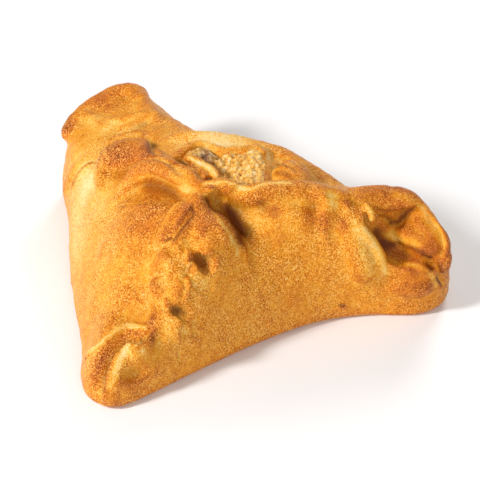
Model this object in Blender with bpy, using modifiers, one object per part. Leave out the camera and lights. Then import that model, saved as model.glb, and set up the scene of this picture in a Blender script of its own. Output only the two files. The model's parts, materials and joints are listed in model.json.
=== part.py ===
"""Triangular meat pie: a disc of dough folded up over its filling from three sides, pinched along three
seams that run from the blunt corners to the top, and left open there, where the meat shows.

Metres, +Z up.  The origin is under the middle of the pie, on the surface that it stands on.  X runs from
the two left corners, the front one and the back one, to the tall right corner.  The tables below are in
millimetres from a point MIDDLE away from the origin, and the empty that carries the parts moves them there.
"""

import math

import bmesh
import bpy
import numpy as np
from mathutils import Vector

MM = 0.001

# ---- driving dimensions, in millimetres -------------------------------------------------------------
MIDDLE = (-1.6, 2.5)        # middle of the pie's box, in plan
CENTRE = (-9.0, -6.0)       # the point that the three sides turn about, in plan
TOP = 40.0                  # height of the dough between the seams, under the rims of the vent
EDGE_ROUND = 2.5            # radius of the lower edge
BELOW = 0.8                 # how far the dough reaches under the cut that makes the flat base
VENT = (-6.0, 0.6, 40.5)   # middle of the opening
VENT_HALF = (10.0, 8.4)     # half its length and half its width
VENT_DEPTH = 6.5            # from its middle to its floor
FILLING_GAP = 0.35          # clear space between the meat and the dough
FILLING_TOP = 0.4           # the meat's height over the middle of the opening
MEAT_BUMPS = 0.7            # how far the meat's crumbs stand up or down
GRAIN = 1.0                 # size of the cells in which the folds are melted into one dough
SOFT_PASSES = 8             # rounds of smoothing that turn the melted folds into soft ones
UNDERSIDE = 0.2             # share of each meridian of the body that lies under it
CLEAR_ABOVE = 12.0          # how far the cutter for the opening reaches over its middle
CRUST_FACES = 9400          # triangles of the crust before its base and its opening are cut
BASE_SIZE = 200.0           # side of the block that cuts the flat base

# Outline of the pie where it is widest, anticlockwise from the front left corner.
OUTLINE = [
    (-50, -48), (-47, -55), (-41, -58), (-34, -55.2), (-16.3, -42.2), (1.6, -29.8), (19, -20.3),
    (34, -16.8), (47, -16.8), (54, -14), (57.5, -8), (56.5, -1), (50, 4), (36, 7), (22, 13), (4, 27),
    (-17, 39), (-29, 52), (-35, 60), (-44, 60.5), (-55, 51.5), (-60, 42), (-57.7, 27), (-56.4, 8),
    (-54, -13), (-50.6, -33),
]

# Wall of the pie at each bearing from the centre: bearing in degrees, how far in from the edge the wall
# bends over, how square the bend is, and the dough's height at 35, 65 and 95 percent of the way out.
WALLS = [
    (0, 8, 2.6, 38, 35, 27), (20, 14, 2.4, 38, 35, 27), (50, 15, 2.4, 40, 38, 33),
    (76, 18, 2.4, 40, 39, 34), (100, 22, 2.2, 40, 38, 32), (112, 14, 2.4, 38, 34, 30),
    (124, 8, 2.8, 38, 33, 28), (134, 9, 2.6, 38, 32, 26), (150, 18, 2.2, 38, 32, 26),
    (180, 34, 1.8, 40, 40, 38), (205, 26, 1.9, 38, 33, 27), (220, 20, 2.0, 36, 25, 17),
    (233, 10, 2.4, 35, 18, 13), (246, 14, 2.2, 37, 26, 17), (262, 22, 1.9, 40, 38, 31),
    (290, 24, 1.8, 40, 42, 42), (335, 18, 2.0, 39, 38, 34), (350, 11, 2.3, 38, 36, 30),
]

# Rolls of dough along the seams, the rims and the corners: x, y, z and radius at each point.
FOLDS = {
    "seam to the right": [
        (-14, -10, 41.5, 3), (-9, -9, 42, 3), (-4, -12, 41, 3), (2, -10.5, 41, 3), (9, -8.5, 40.6, 3.2),
        (16, -8, 39, 3.8), (23, -8.5, 37, 3.8), (28, -9, 35, 3.5),
    ],
    "seam to the front": [
        (-14, -11, 41, 3), (-17, -15, 40, 3.2), (-20, -19, 37.5, 3.5), (-22, -23, 34, 3.5),
        (-23.5, -27, 30, 3.8), (-24, -30.5, 25.5, 4), (-24.5, -34, 21, 4), (-26, -37.5, 17, 3.5),
        (-30, -41, 14.5, 3),
    ],
    "lumps left of the seam": [
        (-25, -25.5, 33.5, 2.4), (-25.5, -27.5, 31.5, 2.7), (-27.5, -28.5, 28, 2.6),
        (-28, -30.5, 25.5, 2.6), (-27.5, -34, 23.5, 2.4), (-25.5, -37, 22.5, 2),
    ],
    "curl under the finger hole": [
        (-20.5, -32, 28.5, 1.9), (-21, -34, 27, 2.3), (-22.5, -36, 25, 2.1), (-24, -37.5, 23, 1.8),
    ],
    "edge under the lower dent": [
        (-24.5, -40.5, 21.5, 1.5), (-22.5, -41, 19.5, 1.8), (-20, -41, 16.5, 1.8), (-18, -41, 13, 1.7),
        (-17, -41, 9, 1.5),
    ],
    "bulge under the lower seam": [
        (-25, -40.5, 20.5, 2.4), (-23, -41.5, 19, 3.2), (-21.5, -42, 15.5, 3.2),
        (-22, -42.5, 12.5, 2.8),
    ],
    "seam to the back": [
        (-15.5, -9.5, 42, 2.2), (-17.2, -6.7, 42, 2.6), (-20.8, -2.3, 41.3, 2.8), (-24.6, 2.4, 40.2, 3),
        (-28.1, 7.1, 38.6, 3.4), (-31, 11.5, 37, 4), (-34, 16, 35, 5), (-37.5, 18.5, 32.5, 6.2),
        (-41, 18.5, 31, 6), (-43.6, 17, 29, 5), (-44.5, 14.5, 28, 4.2), (-44, 10, 27, 3.6),
        (-42.2, 5.5, 26.5, 2.6),
    ],
    "far rim of the vent": [
        (-25.5, 7.8, 39.8, 1.4), (-22, 9.2, 40.6, 1.4), (-19.6, 11.8, 41.2, 1.3),
        (-17.4, 13.2, 41.3, 1.3), (-13.7, 12.6, 41.3, 1.3), (-11.5, 10.7, 41.2, 1.4),
        (-8.1, 10, 41.2, 1.4), (-2.5, 10.7, 41.2, 1.4), (-0.2, 11.7, 41, 1.5), (1.5, 10.4, 41, 1.5),
        (2.4, 7.9, 40.8, 1.6),
    ],
    "back edge of the top": [
        (-27, 23, 34.5, 2.4), (-22, 21.5, 36.6, 3), (-14, 19.3, 38, 3.4), (-4, 16.8, 37.2, 3.6),
        (5, 13.8, 36.4, 3.8), (12, 9.4, 35.4, 3.8), (19, 4.4, 33.4, 3.8), (26, 0, 30.6, 3.8),
    ],
    "mound beside the vent": [
        (6, 6, 36.5, 4.6), (9, 3, 36.6, 5.8), (11.5, -1, 36.8, 6), (13.5, -5, 36.6, 5.6),
    ],
    "collar of the right corner": [
        (22, -8, 36, 3.4), (30, -6, 36, 3.4), (36, -4.5, 35.4, 3.4), (42, -4, 34.4, 3.4),
        (46, -5, 32.4, 3.1), (49.9, -8, 29.4, 2.8), (53.6, -11.2, 25, 2.7), (54.8, -13, 20, 2.5),
        (54.4, -14, 14, 2.5),
    ],
    "rim of the back corner": [
        (-58.8, 41.8, 23, 2.8), (-54, 50, 25, 3.3), (-47, 55.5, 27, 3.6), (-41, 58.5, 28.3, 3.6),
        (-37, 56.5, 29, 3.5), (-35, 50.5, 30, 3.2), (-32.5, 43, 31.5, 3.2), (-29, 34, 33.5, 3.2),
    ],
    "pale crest of the back corner": [
        (-54.5, 49.5, 26, 1.8), (-50.5, 46.5, 27, 2.2), (-46, 41, 29, 2.4), (-42, 38.5, 31, 2.4),
        (-39, 37.5, 32, 2.4), (-35.5, 38.5, 33, 2.2), (-32, 40, 33, 2),
    ],
    "dough over the arch": [
        (-50.5, 26.5, 27, 1.2), (-53.5, 28.5, 23, 1.6), (-55.5, 29.5, 18.5, 1.8), (-57, 31, 14, 1.8),
        (-58.5, 33, 8.5, 1.6),
    ],
    "front sheet before the pouch": [
        (25, -11, 34, 3.6), (26, -12, 31, 4), (28, -13, 27.5, 4.2), (29.5, -14, 23.5, 4.4),
        (31, -14.5, 18, 4.6), (31.5, -15, 12, 4.4),
    ],
}

# Hollows scooped out of the dough: x, y, z and radius at each point.
SCOOPS = {
    "pouch of the right corner": [
        (35.5, -15, 30.5, 3.4), (39.5, -13.5, 30.5, 6), (44.5, -13.5, 28.5, 8), (49, -14.5, 24, 7.2),
        (51, -16, 19, 5.6),
    ],
    "deep part of the pouch": [
        (33, -16, 29, 2.2), (36, -16.5, 27, 3), (39, -16, 24.5, 3.2), (43, -14, 21.5, 3),
        (46, -15.5, 20.5, 2.4), (48.5, -16, 19.5, 1.8),
    ],
    "finger hole": [
        (-16.5, -29, 33.5, 2.2), (-16, -28.5, 31.5, 3), (-15, -29, 30.5, 3.3), (-13.5, -31, 30.5, 3.1),
        (-12, -32, 30.5, 2.8), (-10.5, -32.5, 30, 2.2),
    ],
    "lower dent": [
        (-24, -39, 21, 1.4), (-22.5, -40, 21.5, 2), (-20.5, -40.5, 21.5, 2.4), (-18.5, -41, 20.5, 2.8),
        (-17.5, -41.5, 19, 3),
    ],
    "first dent of the front": [
        (1, -15.5, 41, 2.6), (2.5, -15.5, 39, 3.2), (4.5, -16.5, 38.5, 3.4),
    ],
    "valley before the collar": [
        (24, -11.5, 40.5, 2.2), (24.5, -14.5, 38, 3.2), (24.5, -17, 35, 3.6),
    ],
    "hollow under the right lobe": [
        (-37, -56.5, 12.5, 2), (-35, -55, 10.5, 2.6), (-32, -54, 10, 2.6), (-29.5, -52.5, 9.5, 2.2),
    ],
    "hollow of the back corner": [
        (-53, 50, 29.5, 2), (-46, 50, 32, 3.2), (-39, 50, 34, 3.4), (-34.5, 47, 35, 2.4),
    ],
    "furrow below the lower dent": [
        (-19, -43.5, 20.5, 3), (-18.5, -44.5, 17, 3.2), (-18, -44.5, 13, 3.2),
    ],
    "left part of the pouch": [
        (32, -11.5, 36.5, 2), (33.5, -12.5, 34.5, 3), (35.5, -13, 31, 3.8), (37, -13, 26.5, 4),
        (39.5, -14, 23, 3.6), (42.5, -14.5, 21, 3), (46, -15, 19.5, 2.4),
    ],
    "pit beside the crest": [
        (-12, -14.5, 42, 2.2), (-9.5, -15.5, 40, 2.8), (-7.5, -17, 38.5, 3.2), (-5.5, -18, 36, 3.2),
        (-4, -19.5, 34.5, 3), (-3, -21, 33.5, 2.4),
    ],
    "slope beside that pit": [
        (-3.5, -18, 41.5, 4.6), (-1, -19, 39.5, 6), (1, -21.5, 37, 6.5), (1.5, -24, 34.5, 6.5),
    ],
}

# Rolls laid on after that: folds that stand beside a hollow, or hang inside one.
LAID_ON = {
    "near rim of the vent": [
        (-15.5, -7.4, 42.2, 1), (-13.7, -8, 42.4, 1.1), (-11.4, -7, 42.6, 1.2), (-9, -6.6, 42.7, 1.2),
        (-7, -9.2, 42.6, 1.2), (-4.6, -10.2, 42.4, 1.2), (-2.5, -9.9, 42.4, 1.2),
        (0.1, -8.8, 42.3, 1.2), (2.2, -8, 42.2, 1.2), (6.9, -7.4, 42.1, 1.1), (10.7, -7.6, 41.8, 1),
        (13.5, -9, 41.2, 0.9),
    ],
    "fold inside the pouch": [
        (41, -6, 27.5, 3), (43.5, -7, 25.5, 4.2), (46.5, -8.5, 23.5, 4.6), (49.5, -11, 21.5, 4.2),
        (51.5, -13.5, 19, 3.2),
    ],
    "edge over the cavity": [
        (-40.5, 3.5, 32, 1.4), (-37.5, 4, 34.5, 2), (-34, 4, 38, 2.6), (-30.5, 3, 40, 2.8),
        (-26.5, 0.5, 41, 2.8), (-23, -3, 41, 2.6), (-20.5, -6, 41, 2.2),
    ],
    "lower lip of the pouch": [
        (37, -14.5, 10.5, 4), (42, -13.8, 11.5, 5.2), (48, -13.8, 11, 5.2), (52.5, -13, 9, 4.4),
    ],
    "left edge of the front fold": [
        (-18.5, -15, 40, 2.6), (-21, -16.5, 39, 3), (-23, -18, 37.5, 3), (-24.5, -20.5, 35.5, 3),
        (-26.5, -22.5, 33, 3), (-27, -24.5, 32, 2.4),
    ],
    "middle of the front fold": [
        (-17, -14.5, 39, 3.6), (-18.5, -17, 36.5, 4.5), (-19.5, -20, 35, 4.5), (-21, -22.5, 33, 4),
    ],
    "right part of the front fold": [
        (-16, -15, 38.5, 3.6), (-15, -18, 36.5, 4.5), (-14.5, -21, 34.5, 4.8), (-14, -23.5, 32, 4.8),
        (-13.5, -26, 30.5, 4),
    ],
    "crest of the front fold": [
        (-15.5, -14.5, 40.5, 2), (-15, -16, 39, 2.8), (-13.5, -18.5, 37.5, 3), (-11.5, -21, 36.5, 3),
        (-10, -23, 34.5, 3), (-9, -24, 32, 3),
    ],
    "edge of the front sheet": [
        (29, -12.5, 35.5, 1), (30, -14.5, 32, 1.3), (32.5, -15, 29, 1.6), (34.5, -15, 25.5, 2),
        (36, -15.5, 22, 2.3), (36.5, -15.5, 18.5, 2.4), (37.5, -16, 15, 2.2),
    ],
    "facet of the pouch": [
        (45, -6, 28.5, 3), (48, -7, 27.5, 3.2), (50.5, -9, 25.5, 3.4), (52, -11.5, 22.5, 3.2),
        (53, -13.5, 20, 2.6),
    ],
}

# Finger marks, grooves and creases: points, reach, depth (raised where it is negative) and direction.
MARKS = {
    "cavity under the back seam": ([(-34, -1, 36), (-30.5, -2, 38), (-27.5, -4.5, 38.5), (-24, -8, 39.5)],
                                   4.5, 2.4, (0, -0.6, 0.8)),
    "valley above the finger hole": ([(-19, -25, 38), (-17.5, -29, 35.5)], 2.2, 1.4, (-0.2, -0.7, 0.7)),
    "groove of the front corner": ([(-33.5, -46, 17), (-38.5, -51, 17.5), (-41.5, -55, 13.5), (-44, -56.5, 6)],
                                   2.0, 1.6, (0, -0.3, 0.95)),
}

CRUST_COLOUR = (0.62, 0.32, 0.08, 1)
MEAT_COLOUR = (0.22, 0.12, 0.07, 1)


def clear_scene():
    for thing in list(bpy.data.objects):
        bpy.data.objects.remove(thing, do_unlink=True)


def collection(name):
    made = bpy.data.collections.new(name)
    bpy.context.scene.collection.children.link(made)
    return made


def material(name, colour, roughness):
    made = bpy.data.materials.new(name)
    made.use_nodes = True
    shader = made.node_tree.nodes["Principled BSDF"]
    shader.inputs["Base Color"].default_value = colour
    shader.inputs["Roughness"].default_value = roughness
    shader.inputs["Metallic"].default_value = 0.0
    return made


def spline(points, step, closed=False):
    """Catmull-Rom curve through the points, with about one sample each step millimetres."""
    points = np.asarray(points, float)
    if closed:
        held = np.vstack([points[-1], points, points[:2]])
    else:
        held = np.vstack([2 * points[0] - points[1], points, 2 * points[-1] - points[-2]])
    pieces = []
    for before, start, end, after in zip(held, held[1:], held[2:], held[3:]):
        count = max(2, int(np.linalg.norm((end - start)[:3]) / step))
        t = np.linspace(0, 1, count, endpoint=False)[:, None]
        pieces.append(
            0.5 * (2 * start + (end - before) * t + (2 * before - 5 * start + 4 * end - after) * t**2
                   + (3 * start - before - 3 * end + after) * t**3)
        )
    if not closed:
        pieces.append(points[-1:])
    return np.vstack(pieces)


def around(bearing, known, values):
    """Values at the known bearings, carried smoothly round the circle to other bearings, in degrees."""
    known = np.concatenate([known[-2:] - 360, known, known[:2] + 360])
    values = np.concatenate([values[-2:], values, values[:2]])
    slope = np.gradient(values, known)
    k = np.clip(np.searchsorted(known, bearing) - 1, 0, len(known) - 2)
    span = known[k + 1] - known[k]
    t = (bearing - known[k]) / span
    return ((2 * t**3 - 3 * t**2 + 1) * values[k] + (t**3 - 2 * t**2 + t) * span * slope[k]
            + (3 * t**2 - 2 * t**3) * values[k + 1] + (t**3 - t**2) * span * slope[k + 1])


def reach(bearings):
    """Distance from the centre to the outline at each bearing."""
    rim = spline(OUTLINE, 1.0, closed=True) - np.array(CENTRE)
    angle = np.degrees(np.arctan2(rim[:, 1], rim[:, 0])) % 360
    order = np.argsort(angle)
    return np.interp(bearings, angle[order], np.hypot(rim[order, 0], rim[order, 1]), period=360)


def wall_profile(bearing, samples=400):
    """Distance from the centre and height along one section, from the lower edge up to the top."""
    edge = float(reach(np.array([bearing]))[0])
    table = np.array(WALLS, float)
    run, square, near, middle, far = (
        float(around(np.array([bearing]), table[:, 0], table[:, k])[0]) for k in range(1, 6)
    )
    r = edge * (1 - np.linspace(0, 1, samples) ** 1.6)
    rise = np.clip((edge - r) / run, 0, 1)
    wall = (1 - (1 - rise) ** square) ** (1 / square)
    shares = np.array([-0.35, 0.0, 0.35, 0.65, 0.95, 1.25])
    heights = np.array([near, TOP, near, middle, far, far])
    slope = np.gradient(heights, shares)
    k = np.clip(np.searchsorted(shares, r / edge) - 1, 0, 4)
    span = shares[k + 1] - shares[k]
    t = (r / edge - shares[k]) / span
    dough = ((2 * t**3 - 3 * t**2 + 1) * heights[k] + (t**3 - 2 * t**2 + t) * span * slope[k]
             + (3 * t**2 - 2 * t**3) * heights[k + 1] + (t**3 - t**2) * span * slope[k + 1])
    z = dough * wall
    under = np.clip(1 - z / EDGE_ROUND, 0, 1)
    r = np.maximum(r - EDGE_ROUND * (1 - np.sqrt(1 - under**2)), 0)
    return r, z


def dough_body(home):
    """The filled dough before it is pinched: a sphere whose meridians are laid on the sections above."""
    mesh = bpy.data.meshes.new("dough")
    bm = bmesh.new()
    bmesh.ops.create_uvsphere(bm, u_segments=144, v_segments=72, radius=1)
    sections = {}
    for vertex in bm.verts:
        bearing = round(math.degrees(math.atan2(vertex.co.y, vertex.co.x)) % 360, 3)
        climb = math.acos(max(-1, min(1, -vertex.co.z))) / math.pi
        if bearing not in sections:
            r, z = wall_profile(bearing)
            along = np.concatenate([[0], np.cumsum(np.hypot(np.diff(r), np.diff(z)))])
            sections[bearing] = r, z, along / along[-1]
        r, z, along = sections[bearing]
        if climb < UNDERSIDE:
            out, up = r[0] * climb / UNDERSIDE, -BELOW
        else:
            share = (climb - UNDERSIDE) / (1 - UNDERSIDE)
            out, up = np.interp(share, along, r), np.interp(share, along, z)
            up -= BELOW * max(0, 1 - up / EDGE_ROUND)
        angle = math.radians(bearing)
        vertex.co = Vector((CENTRE[0] + out * math.cos(angle), CENTRE[1] + out * math.sin(angle), up)) * MM
    bm.to_mesh(mesh)
    bm.free()
    body = bpy.data.objects.new("dough", mesh)
    home.objects.link(body)
    return body


def roll(name, points, home):
    """A soft roll of dough: a round section of changing radius carried along a smooth path."""
    path = spline(points, 1.2)
    share = np.linspace(0, 1, len(path))
    length = np.linalg.norm(np.diff(path[:, :3], axis=0), axis=1).sum()
    from_end = np.minimum(share, 1 - share) * length
    blunt = np.clip(from_end / path[:, 3], 0, 1)
    radius = path[:, 3] * np.sqrt(np.maximum(1 - (1 - blunt) ** 2, 0.02))
    data = bpy.data.curves.new(name, "CURVE")
    data.dimensions = "3D"
    data.bevel_depth = MM
    data.bevel_resolution = 4
    data.use_fill_caps = True
    line = data.splines.new("POLY")
    line.points.add(len(path) - 1)
    line.points.foreach_set("co", np.c_[path[:, :3] * MM, np.ones(len(path))].ravel())
    line.points.foreach_set("radius", radius)
    guide = bpy.data.objects.new(name, data)
    home.objects.link(guide)
    bpy.context.view_layer.update()
    graph = bpy.context.evaluated_depsgraph_get()
    mesh = bpy.data.meshes.new_from_object(guide.evaluated_get(graph))
    bpy.data.objects.remove(guide)
    bm = bmesh.new()
    bm.from_mesh(mesh)
    bmesh.ops.remove_doubles(bm, verts=bm.verts[:], dist=1e-6)
    bmesh.ops.recalc_face_normals(bm, faces=bm.faces[:])
    bm.to_mesh(mesh)
    bm.free()
    made = bpy.data.objects.new(name, mesh)
    home.objects.link(made)
    return made


def joined(pieces, name, home):
    """One object that holds the meshes of all the pieces."""
    bm = bmesh.new()
    for piece in pieces:
        bm.from_mesh(piece.data)
        bpy.data.objects.remove(piece)
    mesh = bpy.data.meshes.new(name)
    bm.to_mesh(mesh)
    bm.free()
    made = bpy.data.objects.new(name, mesh)
    home.objects.link(made)
    return made


def apply_modifiers(thing):
    bpy.context.view_layer.update()
    graph = bpy.context.evaluated_depsgraph_get()
    old = thing.data
    thing.data = bpy.data.meshes.new_from_object(thing.evaluated_get(graph))
    thing.modifiers.clear()
    bpy.data.meshes.remove(old)


def press_marks(thing):
    """Moves the dough near each mark's path, most on the path and fading over the mark's reach."""
    mesh = thing.data
    points = np.empty(len(mesh.vertices) * 3, np.float32)
    mesh.vertices.foreach_get("co", points)
    points = points.reshape(-1, 3).astype(float) / MM
    moved = points.copy()
    for places, width, depth, way in MARKS.values():
        path = spline(places, 1.0)
        away = np.full(len(points), np.inf)
        for start, end in zip(path, path[1:]):
            run = end - start
            t = np.clip((points - start) @ run / (run @ run), 0, 1)
            away = np.minimum(away, np.linalg.norm(points - start - t[:, None] * run, axis=1))
        way = np.array(way, float) / np.linalg.norm(way)
        moved -= (depth * np.exp(-(away / width) ** 2))[:, None] * way
    mesh.vertices.foreach_set("co", (moved * MM).astype(np.float32).ravel())
    mesh.update()


def vent_form(name, home, gap, top, bumps):
    """A bowl as long and wide as the opening: its floor is rounded, and its upper side is flat or crumbly."""
    mesh = bpy.data.meshes.new(name)
    bm = bmesh.new()
    bmesh.ops.create_uvsphere(bm, u_segments=40, v_segments=20, radius=1)
    for vertex in bm.verts:
        x, y, z = vertex.co
        bearing = math.atan2(y, x)
        uneven = 1 + 0.05 * math.cos(3 * bearing + 0.6) + 0.03 * math.sin(5 * bearing)
        out = max(math.hypot(x, y), 1e-9)
        half_x, half_y = (side * uneven - gap for side in VENT_HALF)
        wide = min(1.0, out ** 0.8) / out if out > 1e-6 else 0.0
        if z < 0:
            up = z * (VENT_DEPTH - gap)
        else:
            crumbs = math.sin(0.77 * x * half_x) * math.cos(0.97 * y * half_y + 0.8)
            up = z * (top + bumps * crumbs)
        vertex.co = Vector((x * wide * half_x, y * wide * half_y, up)) * MM
    bm.to_mesh(mesh)
    bm.free()
    made = bpy.data.objects.new(name, mesh)
    made.location = Vector(VENT) * MM
    home.objects.link(made)
    return made


def base_cutter(home):
    """A block with its top on the surface that the pie stands on."""
    mesh = bpy.data.meshes.new("block under the base")
    bm = bmesh.new()
    bmesh.ops.create_cube(bm, size=BASE_SIZE * MM)
    bm.to_mesh(mesh)
    bm.free()
    made = bpy.data.objects.new("block under the base", mesh)
    made.location = (0, 0, -BASE_SIZE * MM / 2)
    home.objects.link(made)
    return made


def as_cutter(thing):
    thing.hide_render = True
    thing.display_type = "WIRE"


def cut(thing, cutter, solver="EXACT"):
    made = thing.modifiers.new("cut by " + cutter.name, "BOOLEAN")
    made.operation = "DIFFERENCE"
    made.object = cutter
    made.solver = solver


def melt_together(thing):
    melt = thing.modifiers.new("one dough", "REMESH")
    melt.mode = "VOXEL"
    melt.voxel_size = GRAIN * MM


def laid_on(dough, rolls, home):
    """The dough with rolls laid on it, all melted into one."""
    rolls = [roll(name, points, home) for name, points in rolls.items()]
    whole = joined([dough] + rolls, "crust", home)
    melt_together(whole)
    apply_modifiers(whole)
    return whole


def crust(parts, cutters):
    body = dough_body(parts)
    dough = laid_on(body, FOLDS, parts)
    hollows = joined([roll(name, points, cutters) for name, points in SCOOPS.items()], "hollows", cutters)
    melt_together(hollows)
    apply_modifiers(hollows)
    as_cutter(hollows)
    cut(dough, hollows, "MANIFOLD")
    apply_modifiers(dough)
    dough = laid_on(dough, LAID_ON, parts)
    soften = dough.modifiers.new("soft folds", "SMOOTH")
    soften.factor = 0.5
    soften.iterations = SOFT_PASSES
    apply_modifiers(dough)
    press_marks(dough)
    thin = dough.modifiers.new("fewer faces", "DECIMATE")
    thin.ratio = CRUST_FACES / (2 * len(dough.data.polygons))
    apply_modifiers(dough)
    block = base_cutter(cutters)
    opening = vent_form("opening for the meat", cutters, 0, CLEAR_ABOVE, 0)
    for cutter in (block, opening):
        as_cutter(cutter)
        cut(dough, cutter)
    dough.data.materials.clear()
    dough.data.materials.append(material("baked dough", CRUST_COLOUR, 0.5))
    dough.data.shade_smooth()
    return dough


def filling(parts):
    meat = vent_form("filling", parts, FILLING_GAP, FILLING_TOP, MEAT_BUMPS)
    meat.data.materials.append(material("cooked meat", MEAT_COLOUR, 0.55))
    meat.data.shade_smooth()
    return meat


def carry(things, home):
    """Moves everything by its parent, an empty, so that the middle of the pie is over the origin."""
    carrier = bpy.data.objects.new("pie", None)
    carrier.location = (-MIDDLE[0] * MM, -MIDDLE[1] * MM, 0)
    home.objects.link(carrier)
    for thing in things:
        thing.parent = carrier


clear_scene()
pie = collection("triangular meat pie")
helpers = collection("cutters")
crust(pie, helpers)
filling(pie)
carry([thing for thing in bpy.data.objects if thing.type == "MESH"], pie)
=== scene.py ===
# %% [markdown]
# # A hand-folded triangular meat pie
# The real thing is a disc of dough, drawn up round a heap of chopped meat from three sides and pinched along
# three seams. The seams run from blunt corners to the top, where the dough is left open. Nothing on it is
# straight or even, so this lesson builds it the way a sculptor would: a rough body first, then rolls of dough
# laid on it, then all of it melted together, then finger marks, and last the skin's colour and grain.
# The frame holds the solid pie that the physics uses. The pieces made here take the place of its two nodes.

# %% The frame
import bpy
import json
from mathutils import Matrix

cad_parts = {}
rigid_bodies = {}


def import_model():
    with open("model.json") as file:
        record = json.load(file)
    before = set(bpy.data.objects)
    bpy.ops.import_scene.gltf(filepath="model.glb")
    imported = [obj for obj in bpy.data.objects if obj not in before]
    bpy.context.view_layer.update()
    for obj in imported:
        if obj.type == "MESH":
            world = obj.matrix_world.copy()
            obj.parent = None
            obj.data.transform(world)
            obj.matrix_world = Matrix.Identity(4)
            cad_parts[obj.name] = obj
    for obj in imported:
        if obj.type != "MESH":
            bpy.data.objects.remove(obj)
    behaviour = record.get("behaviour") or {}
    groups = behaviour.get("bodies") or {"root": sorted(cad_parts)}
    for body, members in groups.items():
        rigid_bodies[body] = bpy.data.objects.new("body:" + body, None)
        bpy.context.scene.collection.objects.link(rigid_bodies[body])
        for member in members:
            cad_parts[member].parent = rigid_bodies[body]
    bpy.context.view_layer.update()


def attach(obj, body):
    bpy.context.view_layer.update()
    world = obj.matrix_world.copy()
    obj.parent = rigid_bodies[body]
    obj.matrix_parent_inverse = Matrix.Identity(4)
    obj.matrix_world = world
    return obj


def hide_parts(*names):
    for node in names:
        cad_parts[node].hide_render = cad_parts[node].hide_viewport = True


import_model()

# %% [markdown]
# ## Units
# Every list of places below is in millimetres, measured from a point that lies MIDDLE away from the middle of
# the pie, which keeps the numbers short. A mesh stores its points in metres, and each finished piece is moved
# by MIDDLE, so that it stands in the frame where the solid pie does.

# %% Units
import json
import math
import time

import bmesh
import bpy
import numpy as np
from mathutils import Vector
from mathutils.bvhtree import BVHTree

MM = 0.001
MIDDLE = np.array([-1.6, 2.5, 0.0])
started = time.time()

# %% [markdown]
# ## The foot of the pie
# The pie's foot is a triangle with blunt corners and bowed sides. It could be drawn as a curve object, but
# the samples are needed as numbers, so a spline is worked out here. It only takes the points that the shape
# needs: the three corners and a few between them. The same spline later carries every roll and finger mark.

# %% The outline
OUTLINE = [
    (-50, -48), (-47, -55), (-41, -58), (-34, -55.2), (-16.3, -42.2), (1.6, -29.8), (19, -20.3),
    (34, -16.8), (47, -16.8), (54, -14), (57.5, -8), (56.5, -1), (50, 4), (36, 7), (22, 13), (4, 27),
    (-17, 39), (-29, 52), (-35, 60), (-44, 60.5), (-55, 51.5), (-60, 42), (-57.7, 27), (-56.4, 8),
    (-54, -13), (-50.6, -33),
]
OUTLINE_STEP = 1.0


def spline(points, step, closed=False):
    """A curve through the points: between two of them each sample is the cubic that passes both with the
    slopes of their neighbours' chords (Catmull-Rom). Extra columns, such as a radius, ride along."""
    points = np.asarray(points, float)
    if closed:
        held = np.vstack([points[-1], points, points[:2]])
    else:
        held = np.vstack([2 * points[0] - points[1], points, 2 * points[-1] - points[-2]])
    pieces = []
    for before, start, end, after in zip(held, held[1:], held[2:], held[3:]):
        count = max(2, int(np.linalg.norm((end - start)[:3]) / step))
        t = np.linspace(0, 1, count, endpoint=False)[:, None]
        pieces.append(
            0.5 * (2 * start + (end - before) * t + (2 * before - 5 * start + 4 * end - after) * t**2
                   + (3 * start - before - 3 * end + after) * t**3)
        )
    if not closed:
        pieces.append(points[-1:])
    return np.vstack(pieces)


foot = spline(OUTLINE, OUTLINE_STEP, closed=True)
print("foot:", len(foot), "samples,", np.ptp(foot, axis=0).round(1), "mm across")

# %% [markdown]
# ## The body
# The filled dough stands on the tray with a rounded lower edge, climbs in a steep bulging wall and bends over
# into a top that sags a little between the seams. It could be a cage of a few dozen points under a
# Subdivision Surface, but the outline would then be hard to place. Here it is a function of two parameters
# instead: the bearing round a middle point, and the share of the way up the section at that bearing.

# %% Sections of the body
CENTRE = np.array([-9.0, -6.0])
TOP = 40.0
EDGE_ROUND = 2.5
# bearing in degrees, depth of the wall, squareness of its bend, dough height at 35, 65 and 95 percent out
WALLS = np.array([
    (0, 8, 2.6, 38, 35, 27), (20, 14, 2.4, 38, 35, 27), (50, 15, 2.4, 40, 38, 33),
    (76, 18, 2.4, 40, 39, 34), (100, 22, 2.2, 40, 38, 32), (112, 14, 2.4, 38, 34, 30),
    (124, 8, 2.8, 38, 33, 28), (134, 9, 2.6, 38, 32, 26), (150, 18, 2.2, 38, 32, 26),
    (180, 34, 1.8, 40, 40, 38), (205, 26, 1.9, 38, 33, 27), (220, 20, 2.0, 36, 25, 17),
    (233, 10, 2.4, 35, 18, 13), (246, 14, 2.2, 37, 26, 17), (262, 22, 1.9, 40, 38, 31),
    (290, 24, 1.8, 40, 42, 42), (335, 18, 2.0, 39, 38, 34), (350, 11, 2.3, 38, 36, 30),
], float)
HEIGHT_SHARES = np.array([-0.35, 0.0, 0.35, 0.65, 0.95, 1.25])
# samples of a section, and the power that crowds them towards its edge
SECTION_SAMPLES, CROWDING = 1000, 1.6
SMALLEST_RING = 0.02


def cubic(x, known, values):
    """Smooth curve through values at known places: a cubic in each span, with slopes taken from both sides.
    known has one row for all x, values has one row for each row of x."""
    slope = np.gradient(values, known, axis=-1)
    k = np.clip(np.searchsorted(known, x) - 1, 0, len(known) - 2)
    span = known[k + 1] - known[k]
    t = (x - known[k]) / span
    low, high = np.take_along_axis(values, k, -1), np.take_along_axis(values, k + 1, -1)
    rise, fall = np.take_along_axis(slope, k, -1), np.take_along_axis(slope, k + 1, -1)
    return ((2 * t**3 - 3 * t**2 + 1) * low + (t**3 - 2 * t**2 + t) * span * rise
            + (3 * t**2 - 2 * t**3) * high + (t**3 - t**2) * span * fall)


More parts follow.
